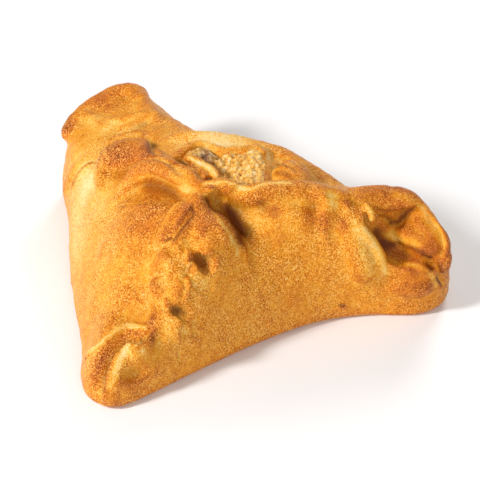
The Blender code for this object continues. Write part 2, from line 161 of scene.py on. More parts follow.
def wall_values(bearing):
    """The five columns of WALLS at each bearing, by a cubic that closes on itself after 360 degrees."""
    turn = np.concatenate([WALLS[-2:, 0] - 360, WALLS[:, 0], WALLS[:2, 0] + 360])
    values = np.concatenate([WALLS[-2:, 1:], WALLS[:, 1:], WALLS[:2, 1:]]).T
    return cubic(np.tile(bearing, (5, 1)), turn, values)[:, :, None]


def body_surface(n_around=360, n_up=150, n_under=24):
    """Rings of points from the middle of the base, out under the pie, up the wall and in over the top.
    At bearing a, a point r from the centre is d = reach(a) - r inside the edge. Its height is the dough's
    height there times (1 - (1 - d / depth) ** n) ** (1 / n), which is 0 at the edge and 1 past the wall."""
    bearing = np.arange(n_around) * 360.0 / n_around
    rim = foot - CENTRE
    angle = np.degrees(np.arctan2(rim[:, 1], rim[:, 0])) % 360
    order = np.argsort(angle)
    edge = np.interp(bearing, angle[order], np.hypot(rim[order, 0], rim[order, 1]), period=360)[:, None]
    depth, square, near, middle, far = wall_values(bearing)
    r = edge * (1 - np.linspace(0, 1, SECTION_SAMPLES) ** CROWDING)
    wall = (1 - (1 - np.clip((edge - r) / depth, 0, 1)) ** square) ** (1 / square)
    heights = np.concatenate([near, np.full_like(near, TOP), near, middle, far, far], axis=1)
    z = cubic(r / edge, HEIGHT_SHARES, heights) * wall
    under = np.clip(1 - z / EDGE_ROUND, 0, 1)
    r = np.maximum(r - EDGE_ROUND * (1 - np.sqrt(1 - under**2)), 0)
    along = np.cumsum(np.hypot(np.diff(r, prepend=r[:, :1]), np.diff(z, prepend=z[:, :1])), axis=1)
    rows = np.linspace(0, 1, n_up)
    up_r = np.array([np.interp(rows * s[-1], s, v) for s, v in zip(along, r)])
    up_z = np.array([np.interp(rows * s[-1], s, v) for s, v in zip(along, z)])
    under_r = up_r[:, :1] * np.linspace(SMALLEST_RING, 1, n_under, endpoint=False)
    r = np.concatenate([under_r, up_r[:, :-1]], axis=1)
    z = np.concatenate([np.zeros_like(under_r), up_z[:, :-1]], axis=1)
    a = np.radians(bearing)[:, None]
    points = np.stack([CENTRE[0] + r * np.cos(a), CENTRE[1] + r * np.sin(a), z], -1)
    return points.transpose(1, 0, 2)


print("highest section:", WALLS[:, 3:].max(), "mm, deepest wall:", WALLS[:, 1].max(), "mm")

# %% [markdown]
# ## From rings to a closed mesh
# All rough shapes here are tubes: rings of points, one after another. Quads join each ring to the next, and a
# fan of triangles to a middle point closes each end. So every shape is a closed solid, which the melting
# further on relies on: it has to know what is inside.

# %% The body as a mesh
def grid_faces(rows, columns):
    """Quads of a grid that is closed round its columns: row i, column j goes to number i * columns + j."""
    i, j = np.meshgrid(np.arange(rows - 1), np.arange(columns), indexing="ij")
    k = (j + 1) % columns
    quads = np.stack([i * columns + j, i * columns + k, (i + 1) * columns + k, (i + 1) * columns + j], -1)
    return quads.reshape(-1, 4)


def closed_tube(rings):
    """Points and faces of a tube from its rings of points. A fan to a middle point closes each end."""
    rows, columns, _ = rings.shape
    ends = np.array([rings[0].mean(0), rings[-1].mean(0)])
    points = np.concatenate([rings.reshape(-1, 3), ends])
    a, b = np.arange(columns), (np.arange(columns) + 1) % columns
    last_ring = (rows - 1) * columns
    first = np.stack([np.full(columns, rows * columns), b, a], -1)
    last = np.stack([np.full(columns, rows * columns + 1), last_ring + a, last_ring + b], -1)
    return points, [*grid_faces(rows, columns).tolist(), *first.tolist(), *last.tolist()]


def mesh_object(name, points, faces):
    """A mesh object from points in millimetres, with its faces turned outwards."""
    mesh = bpy.data.meshes.new(name)
    mesh.from_pydata((np.asarray(points) * MM).tolist(), [], faces)
    bm = bmesh.new()
    bm.from_mesh(mesh)
    bmesh.ops.recalc_face_normals(bm, faces=bm.faces[:])
    bm.to_mesh(mesh)
    bm.free()
    made = bpy.data.objects.new(name, mesh)
    bpy.context.scene.collection.objects.link(made)
    return made


body = mesh_object("body", *closed_tube(body_surface()))
print("body:", len(body.data.vertices), "points")

# %% [markdown]
# ## Rolls of dough
# Pinching leaves rolls along each seam, rims round the open corner and the vent, and flaps. Each one is a
# round section carried along a smooth path, thick where the dough is bunched and thin where it is drawn out.
# A row gives x, y, z and the radius there. The rolls sink into the body, and melting joins them to it.

# %% Where the rolls lie
ROLLS = {
    "seam to the right": [(-14, -10, 41.5, 3), (-9, -9, 42, 3), (-4, -12, 41, 3), (2, -10.5, 41, 3),
        (9, -8.5, 40.6, 3.2), (16, -8, 39, 3.8), (23, -8.5, 37, 3.8), (28, -9, 35, 3.5)],
    "seam to the front": [(-14, -11, 41, 3), (-17, -15, 40, 3.2), (-20, -19, 37.5, 3.5),
        (-22, -23, 34, 3.5), (-23.5, -27, 30, 3.8), (-24, -30.5, 25.5, 4), (-24.5, -34, 21, 4),
        (-26, -37.5, 17, 3.5), (-30, -41, 14.5, 3)],
    "lumps left of the seam": [(-25, -25.5, 33.5, 2.4), (-25.5, -27.5, 31.5, 2.7), (-27.5, -28.5, 28, 2.6),
        (-28, -30.5, 25.5, 2.6), (-27.5, -34, 23.5, 2.4), (-25.5, -37, 22.5, 2)],
    "curl under the finger hole": [(-20.5, -32, 28.5, 1.9), (-21, -34, 27, 2.3), (-22.5, -36, 25, 2.1),
        (-24, -37.5, 23, 1.8)],
    "edge under the lower dent": [(-24.5, -40.5, 21.5, 1.5), (-22.5, -41, 19.5, 1.8), (-20, -41, 16.5, 1.8),
        (-18, -41, 13, 1.7), (-17, -41, 9, 1.5)],
    "bulge under the lower seam": [(-25, -40.5, 20.5, 2.4), (-23, -41.5, 19, 3.2), (-21.5, -42, 15.5, 3.2),
        (-22, -42.5, 12.5, 2.8)],
    "seam to the back": [(-15.5, -9.5, 42, 2.2), (-17.2, -6.7, 42, 2.6), (-20.8, -2.3, 41.3, 2.8),
        (-24.6, 2.4, 40.2, 3), (-28.1, 7.1, 38.6, 3.4), (-31, 11.5, 37, 4), (-34, 16, 35, 5),
        (-37.5, 18.5, 32.5, 6.2), (-41, 18.5, 31, 6), (-43.6, 17, 29, 5), (-44.5, 14.5, 28, 4.2),
        (-44, 10, 27, 3.6), (-42.2, 5.5, 26.5, 2.6)],
    "far rim of the vent": [(-25.5, 7.8, 39.8, 1.4), (-22, 9.2, 40.6, 1.4), (-19.6, 11.8, 41.2, 1.3),
        (-17.4, 13.2, 41.3, 1.3), (-13.7, 12.6, 41.3, 1.3), (-11.5, 10.7, 41.2, 1.4), (-8.1, 10, 41.2, 1.4),
        (-2.5, 10.7, 41.2, 1.4), (-0.2, 11.7, 41, 1.5), (1.5, 10.4, 41, 1.5), (2.4, 7.9, 40.8, 1.6)],
    "back edge of the top": [(-27, 23, 34.5, 2.4), (-22, 21.5, 36.6, 3), (-14, 19.3, 38, 3.4),
        (-4, 16.8, 37.2, 3.6), (5, 13.8, 36.4, 3.8), (12, 9.4, 35.4, 3.8), (19, 4.4, 33.4, 3.8),
        (26, 0, 30.6, 3.8)],
    "mound beside the vent": [(6, 6, 36.5, 4.6), (9, 3, 36.6, 5.8), (11.5, -1, 36.8, 6),
        (13.5, -5, 36.6, 5.6)],
    "collar of the right corner": [(22, -8, 36, 3.4), (30, -6, 36, 3.4), (36, -4.5, 35.4, 3.4),
        (42, -4, 34.4, 3.4), (46, -5, 32.4, 3.1), (49.9, -8, 29.4, 2.8), (53.6, -11.2, 25, 2.7),
        (54.8, -13, 20, 2.5), (54.4, -14, 14, 2.5)],
    "rim of the back corner": [(-58.8, 41.8, 23, 2.8), (-54, 50, 25, 3.3), (-47, 55.5, 27, 3.6),
        (-41, 58.5, 28.3, 3.6), (-37, 56.5, 29, 3.5), (-35, 50.5, 30, 3.2), (-32.5, 43, 31.5, 3.2),
        (-29, 34, 33.5, 3.2)],
    "pale crest of the back corner": [(-54.5, 49.5, 26, 1.8), (-50.5, 46.5, 27, 2.2), (-46, 41, 29, 2.4),
        (-42, 38.5, 31, 2.4), (-39, 37.5, 32, 2.4), (-35.5, 38.5, 33, 2.2), (-32, 40, 33, 2)],
    "dough over the arch": [(-50.5, 26.5, 27, 1.2), (-53.5, 28.5, 23, 1.6), (-55.5, 29.5, 18.5, 1.8),
        (-57, 31, 14, 1.8), (-58.5, 33, 8.5, 1.6)],
    "front sheet before the pouch": [(25, -11, 34, 3.6), (26, -12, 31, 4), (28, -13, 27.5, 4.2),
        (29.5, -14, 23.5, 4.4), (31, -14.5, 18, 4.6), (31.5, -15, 12, 4.4)],
}
print("rolls:", len(ROLLS))

# %% [markdown]
# A curve with a bevel and a radius at each point would give such tubes too. They are worked out here because
# the ends have to be round, and because the same tubes serve as cutters further on. The sections stand square
# to the path, and their side is kept level, so that a roll doesn't twist.

# %% A roll as a tube
SIDES = 20
ROLL_STEP = 0.8
# a path within this sine of the upright takes the x axis as its side
STEEP = 0.15
THINNEST_END = 0.01


def roll(name, rows):
    """Rings round a smooth path: ring i holds path[i] + radius[i] * (cos(a) * side + sin(a) * up), and the
    radius falls to nothing over the last radius of length as a quarter circle does, so the ends are round."""
    path = spline(rows, ROLL_STEP)
    radius = path[:, 3]
    run = np.gradient(path[:, :3], axis=0)
    run /= np.linalg.norm(run, axis=1)[:, None]
    side = np.cross(run, [0.0, 0.0, 1.0])
    steep = np.linalg.norm(side, axis=1) < STEEP
    side[steep] = [1.0, 0.0, 0.0]
    side -= (side * run).sum(1)[:, None] * run
    side /= np.linalg.norm(side, axis=1)[:, None]
    up = np.cross(side, run)
    share = np.linspace(0, 1, len(path))
    length = np.linalg.norm(np.diff(path[:, :3], axis=0), axis=1).sum()
    blunt = np.clip(np.minimum(share, 1 - share) * length / radius, 0, 1)
    radius = radius * np.sqrt(np.maximum(1 - (1 - blunt) ** 2, THINNEST_END))
    a = np.linspace(0, 2 * math.pi, SIDES, endpoint=False)[None, :, None]
    rings = path[:, None, :3] + radius[:, None, None] * (np.cos(a) * side[:, None] + np.sin(a) * up[:, None])
    return mesh_object(name, *closed_tube(rings))


def rolls_of(places):
    """A tube for each entry of a list of rolls."""
    return [roll(name, rows) for name, rows in places.items()]


def join(things, name):
    """One object with the meshes of all the things, which are then removed."""
    bm = bmesh.new()
    for thing in things:
        bm.from_mesh(thing.data)
        bpy.data.objects.remove(thing)
    mesh = bpy.data.meshes.new(name)
    bm.to_mesh(mesh)
    bm.free()
    made = bpy.data.objects.new(name, mesh)
    bpy.context.scene.collection.objects.link(made)
    return made


crust = join([body] + rolls_of(ROLLS), "baked_crust")
print("body and rolls:", len(crust.data.vertices), "points")

# %% [markdown]
# ## Melting the dough together
# The body and the rolls are separate closed shapes that cross each other. A Boolean union would join them but
# leave hard valleys where they meet. A voxel Remesh reads the whole heap as one solid and lays an even net of
# small quads over it, which is also what the finger marks need later. There are two remeshes, a coarse one
# here and a fine one after the hollows are cut, so the edges of the hollows are melted too.

# %% The first melting
COARSE = 0.8


def apply_modifiers(thing):
    """Puts the mesh that the modifiers give in place of the thing's own mesh."""
    bpy.context.view_layer.update()
    graph = bpy.context.evaluated_depsgraph_get()
    old = thing.data
    thing.data = bpy.data.meshes.new_from_object(thing.evaluated_get(graph))
    thing.modifiers.clear()
    bpy.data.meshes.remove(old)


def melt(thing, size):
    """Voxel Remesh: the thing's skin becomes quads of about this size, in millimetres."""
    net = thing.modifiers.new("melt", "REMESH")
    net.mode = "VOXEL"
    net.voxel_size = size * MM
    apply_modifiers(thing)


melt(crust, COARSE)
print("melted:", len(crust.data.vertices), "points")

# %% [markdown]
# ## Hollows and the vent
# The right corner is left open as a pouch, fingers have left holes in the front, and the vent on top shows
# the meat. Pushing points inwards would stretch the net thin in such deep places, so they are cut out. Each
# hollow is a roll again, this time of what is taken away, and the vent is a bowl under its own outline.

# %% Where the hollows lie
HOLLOWS = {
    "pouch of the right corner": [(35.5, -15, 30.5, 3.4), (39.5, -13.5, 30.5, 6), (44.5, -13.5, 28.5, 8),
        (49, -14.5, 24, 7.2), (51, -16, 19, 5.6)],
    "deep part of the pouch": [(33, -16, 29, 2.2), (36, -16.5, 27, 3), (39, -16, 24.5, 3.2),
        (43, -14, 21.5, 3), (46, -15.5, 20.5, 2.4), (48.5, -16, 19.5, 1.8)],
    "finger hole": [(-16.5, -29, 33.5, 2.2), (-16, -28.5, 31.5, 3), (-15, -29, 30.5, 3),
        (-13.5, -31, 30.5, 2.6), (-12, -32, 30.5, 2.2), (-10.5, -32.5, 30, 1.8)],
    "lower dent": [(-24, -39, 21, 1.4), (-22.5, -40, 21.5, 2), (-20.5, -40.5, 21.5, 2.4),
        (-18.5, -41, 20.5, 2.8), (-17.5, -41.5, 19, 3)],
    "first dent of the front": [(1, -15.5, 41, 2.6), (2.5, -15.5, 39, 3.2), (4.5, -16.5, 38.5, 3.4)],
    "valley before the collar": [(24, -11.5, 40.5, 2.2), (24.5, -14.5, 38, 3.2), (24.5, -17, 35, 3.6)],
    "hollow under the right lobe": [(-37, -56.5, 12.5, 2), (-35, -55, 10.5, 2.6), (-32, -54, 10, 2.6),
        (-29.5, -52.5, 9.5, 2.2)],
    "hollow of the back corner": [(-53, 50, 29.5, 2), (-46, 50, 32, 3.2), (-39, 50, 34, 3.4),
        (-34.5, 47, 35, 2.4)],
    "furrow below the lower dent": [(-19, -43.5, 20.5, 3), (-18.5, -44.5, 17, 3.2), (-18, -44.5, 13, 3.2)],
    "left part of the pouch": [(32, -11.5, 36.5, 2), (33.5, -12.5, 34.5, 3), (35.5, -13, 31, 3.8),
        (37, -13, 26.5, 4), (39.5, -14, 23, 3.6), (42.5, -14.5, 21, 3), (46, -15, 19.5, 2.4)],
}
VENT = [
    (-13, -5.6), (-9, -5), (-7, -7.4), (-4.6, -8.6), (-2.5, -8.3), (0.3, -7), (2, -4.6), (2.6, 0), (2.6, 5),
    (1.4, 8.6), (-0.5, 9.8), (-5.9, 8.8), (-9, 8.4), (-11.8, 9.2), (-14, 11), (-17, 11.4), (-19.3, 10),
    (-21, 7.8), (-18.5, 7.2), (-15.4, 4.8), (-13, 2), (-11.4, -1.4), (-10.8, -4.4),
]
VENT_TOP, VENT_DEPTH = 43.0, 6.5
print("hollows:", len(HOLLOWS), "and a vent", np.ptp(VENT, axis=0), "mm across")

# %% [markdown]
# A Boolean modifier takes the cutters away. It wants one clean closed shape, and the cutters cross one
# another, so they are melted together first, as the dough was. The vent is steep at its edge and flat at the
# bottom, and its cutter goes on upwards past the rims, so that no skin is left across it.

# %% Cutting the hollows
HOLLOW_GRAIN = 0.5
BOWL_RINGS = 16
ABOVE_THE_VENT = 6.0
SMALLEST_FLOOR = 0.0005


def scoop(thing, cutters):
    """Takes the cutters away from the thing. They cross each other, so they are first melted into one."""
    cutter = join(cutters, "hollows")
    melt(cutter, HOLLOW_GRAIN)
    cut = thing.modifiers.new("hollows", "BOOLEAN")
    cut.operation = "DIFFERENCE"
    cut.solver = "MANIFOLD"
    cut.object = cutter
    apply_modifiers(thing)
    bpy.data.objects.remove(cutter)


def bowl(name, outline, top, depth):
    """A bowl under a closed outline: ring k, a share t of the way down, is the outline drawn towards its
    middle by (1 - t^3)^(1/3), so the wall is steep and the floor flat. Above the top it goes straight up."""
    edge = spline(outline, ROLL_STEP, closed=True)
    middle = edge.mean(0)
    t = np.sin(np.linspace(SMALLEST_RING, 1, BOWL_RINGS) * math.pi / 2)
    size = np.concatenate([[1.0], np.maximum(1 - t**3, SMALLEST_FLOOR) ** (1 / 3)])
    height = np.concatenate([[top + ABOVE_THE_VENT], top - depth * t])
    flat = middle + (edge - middle) * size[:, None, None]
    rings = np.concatenate([flat, np.broadcast_to(height[:, None, None], (*flat.shape[:2], 1))], -1)
    return mesh_object(name, *closed_tube(rings))


scoop(crust, rolls_of(HOLLOWS) + [bowl("vent", VENT, VENT_TOP, VENT_DEPTH)])
print("hollows cut:", len(crust.data.vertices), "points")

# %% [markdown]
# ## Marks in the skin
# Creases, valleys and overlapping edges are too fine for rolls, and a sculpting brush can't be repeated. So a
# mark is a path on the skin and a rule that says how far a point moves, by its distance from the path. The
# distance is signed, plus on the left of the path and minus on the right, so a rule can lift one side and
# sink the other, which is what an overlapping edge of dough looks like. Each path is first pulled onto the
# skin, so it only has to be roughly right.

# %% Rules for marks
def groove(depth, width):
    """-depth * exp(-(s / width)^2): a furrow, or a ridge where the depth is below zero."""
    return lambda s: -depth * np.exp(-((s / width) ** 2))


def lip(height, slope, depth, width, step=0.8):
    """On the left, height * exp(-(s / slope)^2). On the right, -depth * exp(-(s / width)^2). The two meet in
    a slope that is a step wide."""
    def rule(s):
        up = height * np.exp(-((s / slope) ** 2))
        down = -depth * np.exp(-((s / width) ** 2))
        share = np.clip(0.5 + s / step, 0, 1)
        return down + (up - down) * share * share * (3 - 2 * share)
    return rule


print("a lip 1 mm from its path:", lip(1, 1, 1, 1)(np.array([1.0, -1.0])).round(2), "mm")

# %% [markdown]
# The crust ends up with over a hundred thousand points, too many to visit one by one. They are read into one
# array, moved all at once and stored again. To find the place on the skin that is nearest to a path, the skin
# is sorted into a search tree.

# %% Reading and storing a mesh
def read(items, field, width, kind=np.float32):
    """The named field of all the items, as an array with a row for each."""
    flat = np.empty(len(items) * width, kind)
    items.foreach_get(field, flat)
    return flat.reshape(-1, width)


def read_points(thing):
    """The thing's points in millimetres."""
    return read(thing.data.vertices, "co", 3).astype(float) / MM


def write_points(thing, points):
    """Stores points in millimetres as the thing's points in metres."""
    thing.data.vertices.foreach_set("co", (points * MM).astype(np.float32).ravel())
    thing.data.update()


def read_normals(thing):
    """The direction outwards at each point."""
    return read(thing.data.vertex_normals, "vector", 3).astype(float)


def skin_tree(thing, points):
    """The corner numbers of the skin's triangles, and the skin as a search tree."""
    thing.data.calc_loop_triangles()
    faces = read(thing.data.loop_triangles, "vertices", 3, np.int32)
    return faces, BVHTree.FromPolygons(points.tolist(), faces.tolist())


print("crust with its hollows:", np.ptp(read_points(crust), axis=0).round(1), "mm across")

# %% [markdown]
# To press a mark, the nearest sample of its path is found for each point near by. The skin's own direction
# there, made steady along the path, tells left from right and gives the way to move.

# %% Pressing a mark
MARK_STEP = 0.7
MARK_REACH = 9.0


def pull_to_skin(path, tree):
    """For each row of the path the nearest place on the skin, and the number of the face there."""
    found = [tree.find_nearest(Vector(row)) for row in path[:, :3]]
    index = np.array([hit[2] for hit in found])
    return np.array([tuple(hit[0]) for hit in found]), index


def box_round(points, path, reach):
    """The numbers of the points in the box round the path, widened by the reach."""
    inside = (points > path.min(0) - reach) & (points < path.max(0) + reach)
    return np.where(inside.all(1))[0]


def mean_of_five(column):
    """The mean of each value and its two neighbours on either side. The end values are held."""
    return np.convolve(np.pad(column, 2, "edge"), np.ones(5) / 5, "valid")


def press(points, normals, faces, tree, places, rule, way=None):
    """Moves the points near a path by rule(signed distance) along way, or along the path's own normal.
    A fourth column in the places scales the move along the path."""
    path = spline([(*row, 1.0)[:4] for row in places], MARK_STEP)
    on_skin, face = pull_to_skin(path, tree)
    normal = normals[faces[face]].mean(1)
    normal = 0.5 * (normal + np.apply_along_axis(mean_of_five, 0, normal))
    normal /= np.linalg.norm(normal, axis=1)[:, None]
    run = np.gradient(on_skin, axis=0)
    run /= np.maximum(np.linalg.norm(run, axis=1), 1e-6)[:, None]
    left = np.cross(normal, run)
    left /= np.maximum(np.linalg.norm(left, axis=1), 1e-6)[:, None]
    near = box_round(points, on_skin, MARK_REACH)
    nearest, best = np.zeros(len(near), int), np.full(len(near), np.inf)
    for k, place in enumerate(on_skin):
        away = ((points[near] - place) ** 2).sum(1)
        closer = away < best
        nearest[closer], best[closer] = k, away[closer]
    off = points[near] - on_skin[nearest]
    sideways = (off * left[nearest]).sum(1)
    along = (off * run[nearest]).sum(1)
    inner = (nearest > 0) & (nearest < len(on_skin) - 1)
    away = np.sqrt(np.maximum(best - np.where(inner, along, 0) ** 2, 0))
    signed = np.where(sideways < 0, -away, away)
    amount = rule(signed) * path[nearest, 3]
    direction = normal[nearest] if way is None else np.asarray(way, float) / np.linalg.norm(way)
    moved = points.copy()
    moved[near] += amount[:, None] * direction
    return moved


def work(thing, marks):
    """Presses every mark in turn: its places, its rule and, unless it goes square to the skin, its way. Each
    path is pulled onto the skin as it was before the first of them."""
    points = read_points(thing)
    faces, tree = skin_tree(thing, points)
    for places, rule, *way in marks.values():
        normals = read_normals(thing)
        points = press(points, normals, faces, tree, places, rule, *way)
        write_points(thing, points)


print("a mark reaches up to", MARK_REACH, "mm to either side of its path")

# %% [markdown]
# ## Valleys under the seams
# Beside the back seam and beside the crest of the front fold the dough drops away steeply. These two valleys
# are marks too, but they are pressed in before the thin edges are laid on, so that the edges stand over them.
# Their points don't move square to the skin but on a slant, back and down under the edge and forwards and up
# on it, which keeps the edge sharp.

# %% Valleys
FORWARD_UP = (0, -0.6, 0.8)
FORWARD = (0, -0.75, 0.65)
VALLEYS = {
    "cavity under the back seam": ([(-41, -1.5, 32.5, 0.3), (-37.5, -0.5, 35, 0.7), (-33.5, 0, 37.5, 1),
        (-30, -0.5, 39, 1.1), (-26.5, -3, 39.5, 1.1), (-23, -6.5, 40, 1), (-21, -9.5, 40.5, 0.6)],
        lip(0.5, 1.6, 3.2, 7.5, 1.4), FORWARD_UP),
    "pit beside the crest": ([(-4.5, -20.5, 29.5, 0.3), (-6, -19.5, 32, 0.9), (-8, -18.5, 34, 1.15),
        (-10, -17.5, 36.5, 1.2), (-11.5, -16.5, 38.5, 1), (-13, -15.5, 40.5, 0.6), (-14.5, -15, 42, 0.3)],
        lip(0.4, 1.0, 4.6, 7.5, 1.1), FORWARD),
}
work(crust, VALLEYS)
print("valleys:", len(VALLEYS))

# %% [markdown]
# ## Thin edges
# The near rim of the vent, the torn flap that hangs in it, the folds of the front seam and the edge of the
# front sheet are rolls as well. They are laid on after the hollows are cut, because some of them hang inside
# a hollow.

# %% Where the edges lie
EDGES = {
    "near rim of the vent": [(-15.5, -7.4, 42.2, 1), (-13.7, -8, 42.4, 1.1), (-11.4, -7, 42.6, 1.2),
        (-9, -6.6, 42.7, 1.2), (-7, -9.2, 42.6, 1.2), (-4.6, -10.2, 42.4, 1.2), (-2.5, -9.9, 42.4, 1.2),
        (0.1, -8.8, 42.3, 1.2), (2.2, -8, 42.2, 1.2), (6.9, -7.4, 42.1, 1.1), (10.7, -7.6, 41.8, 1),
        (13.5, -9, 41.2, 0.9)],
    "flap in the vent": [(-21, 3, 43, 0.8), (-18.5, 3, 43.5, 1.1), (-16, 1.5, 43, 1.3),
        (-13.5, -0.5, 42.5, 1.4), (-12, -2.5, 42, 1.4), (-11, -5, 41.5, 1.2)],
    "beak of the top": [(-15, -11, 43, 1.4), (-13, -11.5, 43.2, 1.2), (-11.5, -12, 42.6, 0.8)],
    "torn tab": [(30.5, -11, 37, 0.9), (32, -11, 37, 1.1), (33, -11.5, 35.5, 1.2), (33.5, -12, 34, 1.4),
        (33, -13.5, 33, 1.3)],
    "fold inside the pouch": [(41, -6, 27.5, 3), (43.5, -7, 25.5, 4.2), (46.5, -8.5, 23.5, 4.6),
        (49.5, -11, 21.5, 4.2), (51.5, -13.5, 19, 3.2)],
    "edge over the cavity": [(-40.5, 3.5, 32, 1.4), (-37.5, 4, 34.5, 2), (-34, 4, 38, 2.6),
        (-30.5, 3, 40, 2.8), (-26.5, 0.5, 41, 2.8), (-23, -3, 41, 2.6), (-20.5, -6, 41, 2.2)],
    "lower lip of the pouch": [(37, -13.5, 9.5, 4), (42, -12.8, 10.8, 5.2), (48, -12.8, 10.2, 5.2),
        (52.5, -12.4, 8.5, 4.4)],
    "left edge of the finger hole": [(-19.5, -26, 34.5, 1), (-18.5, -28, 33, 1.2), (-19, -29.5, 31, 1.2),
        (-18, -31.5, 30, 1), (-17, -32.5, 29, 0.8)],
    "left edge of the front fold": [(-18.5, -15, 40, 2.6), (-21, -16.5, 39, 3), (-23, -18, 37.5, 3),
        (-24.5, -20.5, 35.5, 3), (-26.5, -22.5, 33, 3), (-27, -24.5, 32, 2.4)],
    "middle of the front fold": [(-17, -14.5, 39, 3.6), (-18.5, -17, 36.5, 4.5), (-19.5, -20, 35, 4.5),
        (-21, -22.5, 33, 4)],
    "right part of the front fold": [(-16, -15, 38.5, 3.6), (-15, -18, 36.5, 4.5), (-14.5, -21, 34.5, 4.8),
        (-14, -23.5, 32, 4.8), (-13.5, -26, 30.5, 4)],
    "crest of the front fold": [(-15.5, -14.5, 40.5, 2), (-15, -16, 39, 2.8), (-13.5, -18.5, 37.5, 3),
        (-11.5, -21, 36.5, 3), (-10, -23, 34.5, 3), (-9, -24, 32, 3)],
    "edge of the front sheet": [(29, -12.5, 35.5, 1), (30, -14.5, 32, 1.3), (32.5, -15, 29, 1.6),
        (34.5, -14.7, 25.3, 1.9), (36, -15, 21.6, 2.1), (36.5, -14.8, 18, 2.2), (37.5, -15.2, 14.4, 2)],
    "inner layer of the flap": [(-19.5, 1, 43, 0.9), (-17.5, -0.5, 42.5, 1.1), (-15.5, -2.5, 42.5, 1.2),
        (-14, -5, 42, 1.1)],
    "facet of the pouch": [(45, -6, 28.5, 3), (48, -7, 27.5, 3.2), (50.5, -9, 25.5, 3.4),
        (52, -11.5, 22.5, 3.2), (53, -13.5, 20, 2.6)],
}
print("edges:", len(EDGES))

# %% [markdown]
# The second melting is finer than the first, so that edges of about a millimetre come through. A still finer
# one would give more points than the dough's soft forms need.

# %% The second melting
GRAIN = 0.45

crust = join([crust] + rolls_of(EDGES), "baked_crust")
melt(crust, GRAIN)
print("one dough:", len(crust.data.vertices), "points,", round(time.time() - started, 1), "s")

# %% [markdown]
# ## Softening
# Raw dough has no sharp edges: it slumps. A Smooth modifier with a vertex group could do it. Here it is
# written out, because the same passes are needed again to find out what stands out of the skin. Each pass
# moves every point a part of the way to the mean of its neighbours, and a weight for each point keeps the
# thin lips crisp while the body goes smooth.

# %% Soft dough
SOFT_REACH = 1.0
# these stay crisp: softness is least up to the margin from a roll, and grows to 1 over the fade
CRISP = ["far rim of the vent", "near rim of the vent", "flap in the vent", "inner layer of the flap",
         "beak of the top", "torn tab", "left edge of the finger hole", "left edge of the front fold"]
CRISP_STEP = 1.2
CRISP_MARGIN = 0.3
CRISP_FADE = 1.6
LEAST_SOFTNESS = 0.1


def passes_over(reach):
    """How many passes smooth the skin over this many millimetres: 2 * (reach / size of a quad)^2."""
    return round(2 * (reach / GRAIN) ** 2)


def neighbour_mean(values, edges):
    """For each point, the mean of the values at the points that an edge joins it to."""
    count = len(values)
    degree = np.bincount(edges.ravel(), minlength=count).astype(float)
    start, end = edges.T
    total = np.stack([
        np.bincount(start, column[end], count) + np.bincount(end, column[start], count)
        for column in values.reshape(count, -1).T
    ], -1)
    return (total / degree[:, None]).reshape(values.shape)


def soften(values, edges, passes, weight=1.0):
    """Each pass: value + weight * half the way to the mean of its neighbours."""
    for _ in range(passes):
        values = values + 0.5 * weight * (neighbour_mean(values, edges) - values)
    return values


def distance_to(points, path):
    """For each point the distance to the nearest sample of the path, less the radius of the roll there."""
    apart = np.full(len(points), np.inf)
    for row in path:
        np.minimum(apart, np.linalg.norm(points - row[:3], axis=1) - row[3], out=apart)
    return apart


edges = read(crust.data.edges, "vertices", 2, np.int32)
points = read_points(crust)
all_rolls = {**ROLLS, **EDGES}
apart = np.min([distance_to(points, spline(all_rolls[name], CRISP_STEP)) for name in CRISP], axis=0)
softness = np.clip((apart - CRISP_MARGIN) / CRISP_FADE, LEAST_SOFTNESS, 1.0)[:, None]
points = soften(points, edges, passes_over(SOFT_REACH), softness)
write_points(crust, points)
print("softened:", round(float(softness.mean()), 2), "on average,", round(time.time() - started, 1), "s")

# %% [markdown]
# ## Finger marks and creases
# Each pinch leaves creases, small rolls and dents, and the folded sheets leave edges. The deepest is under
# three millimetres, yet they are what makes the pie look folded by hand. Most are grooves. A groove with a
# negative depth is a ridge, and a lip is an edge where one sheet lies over another.

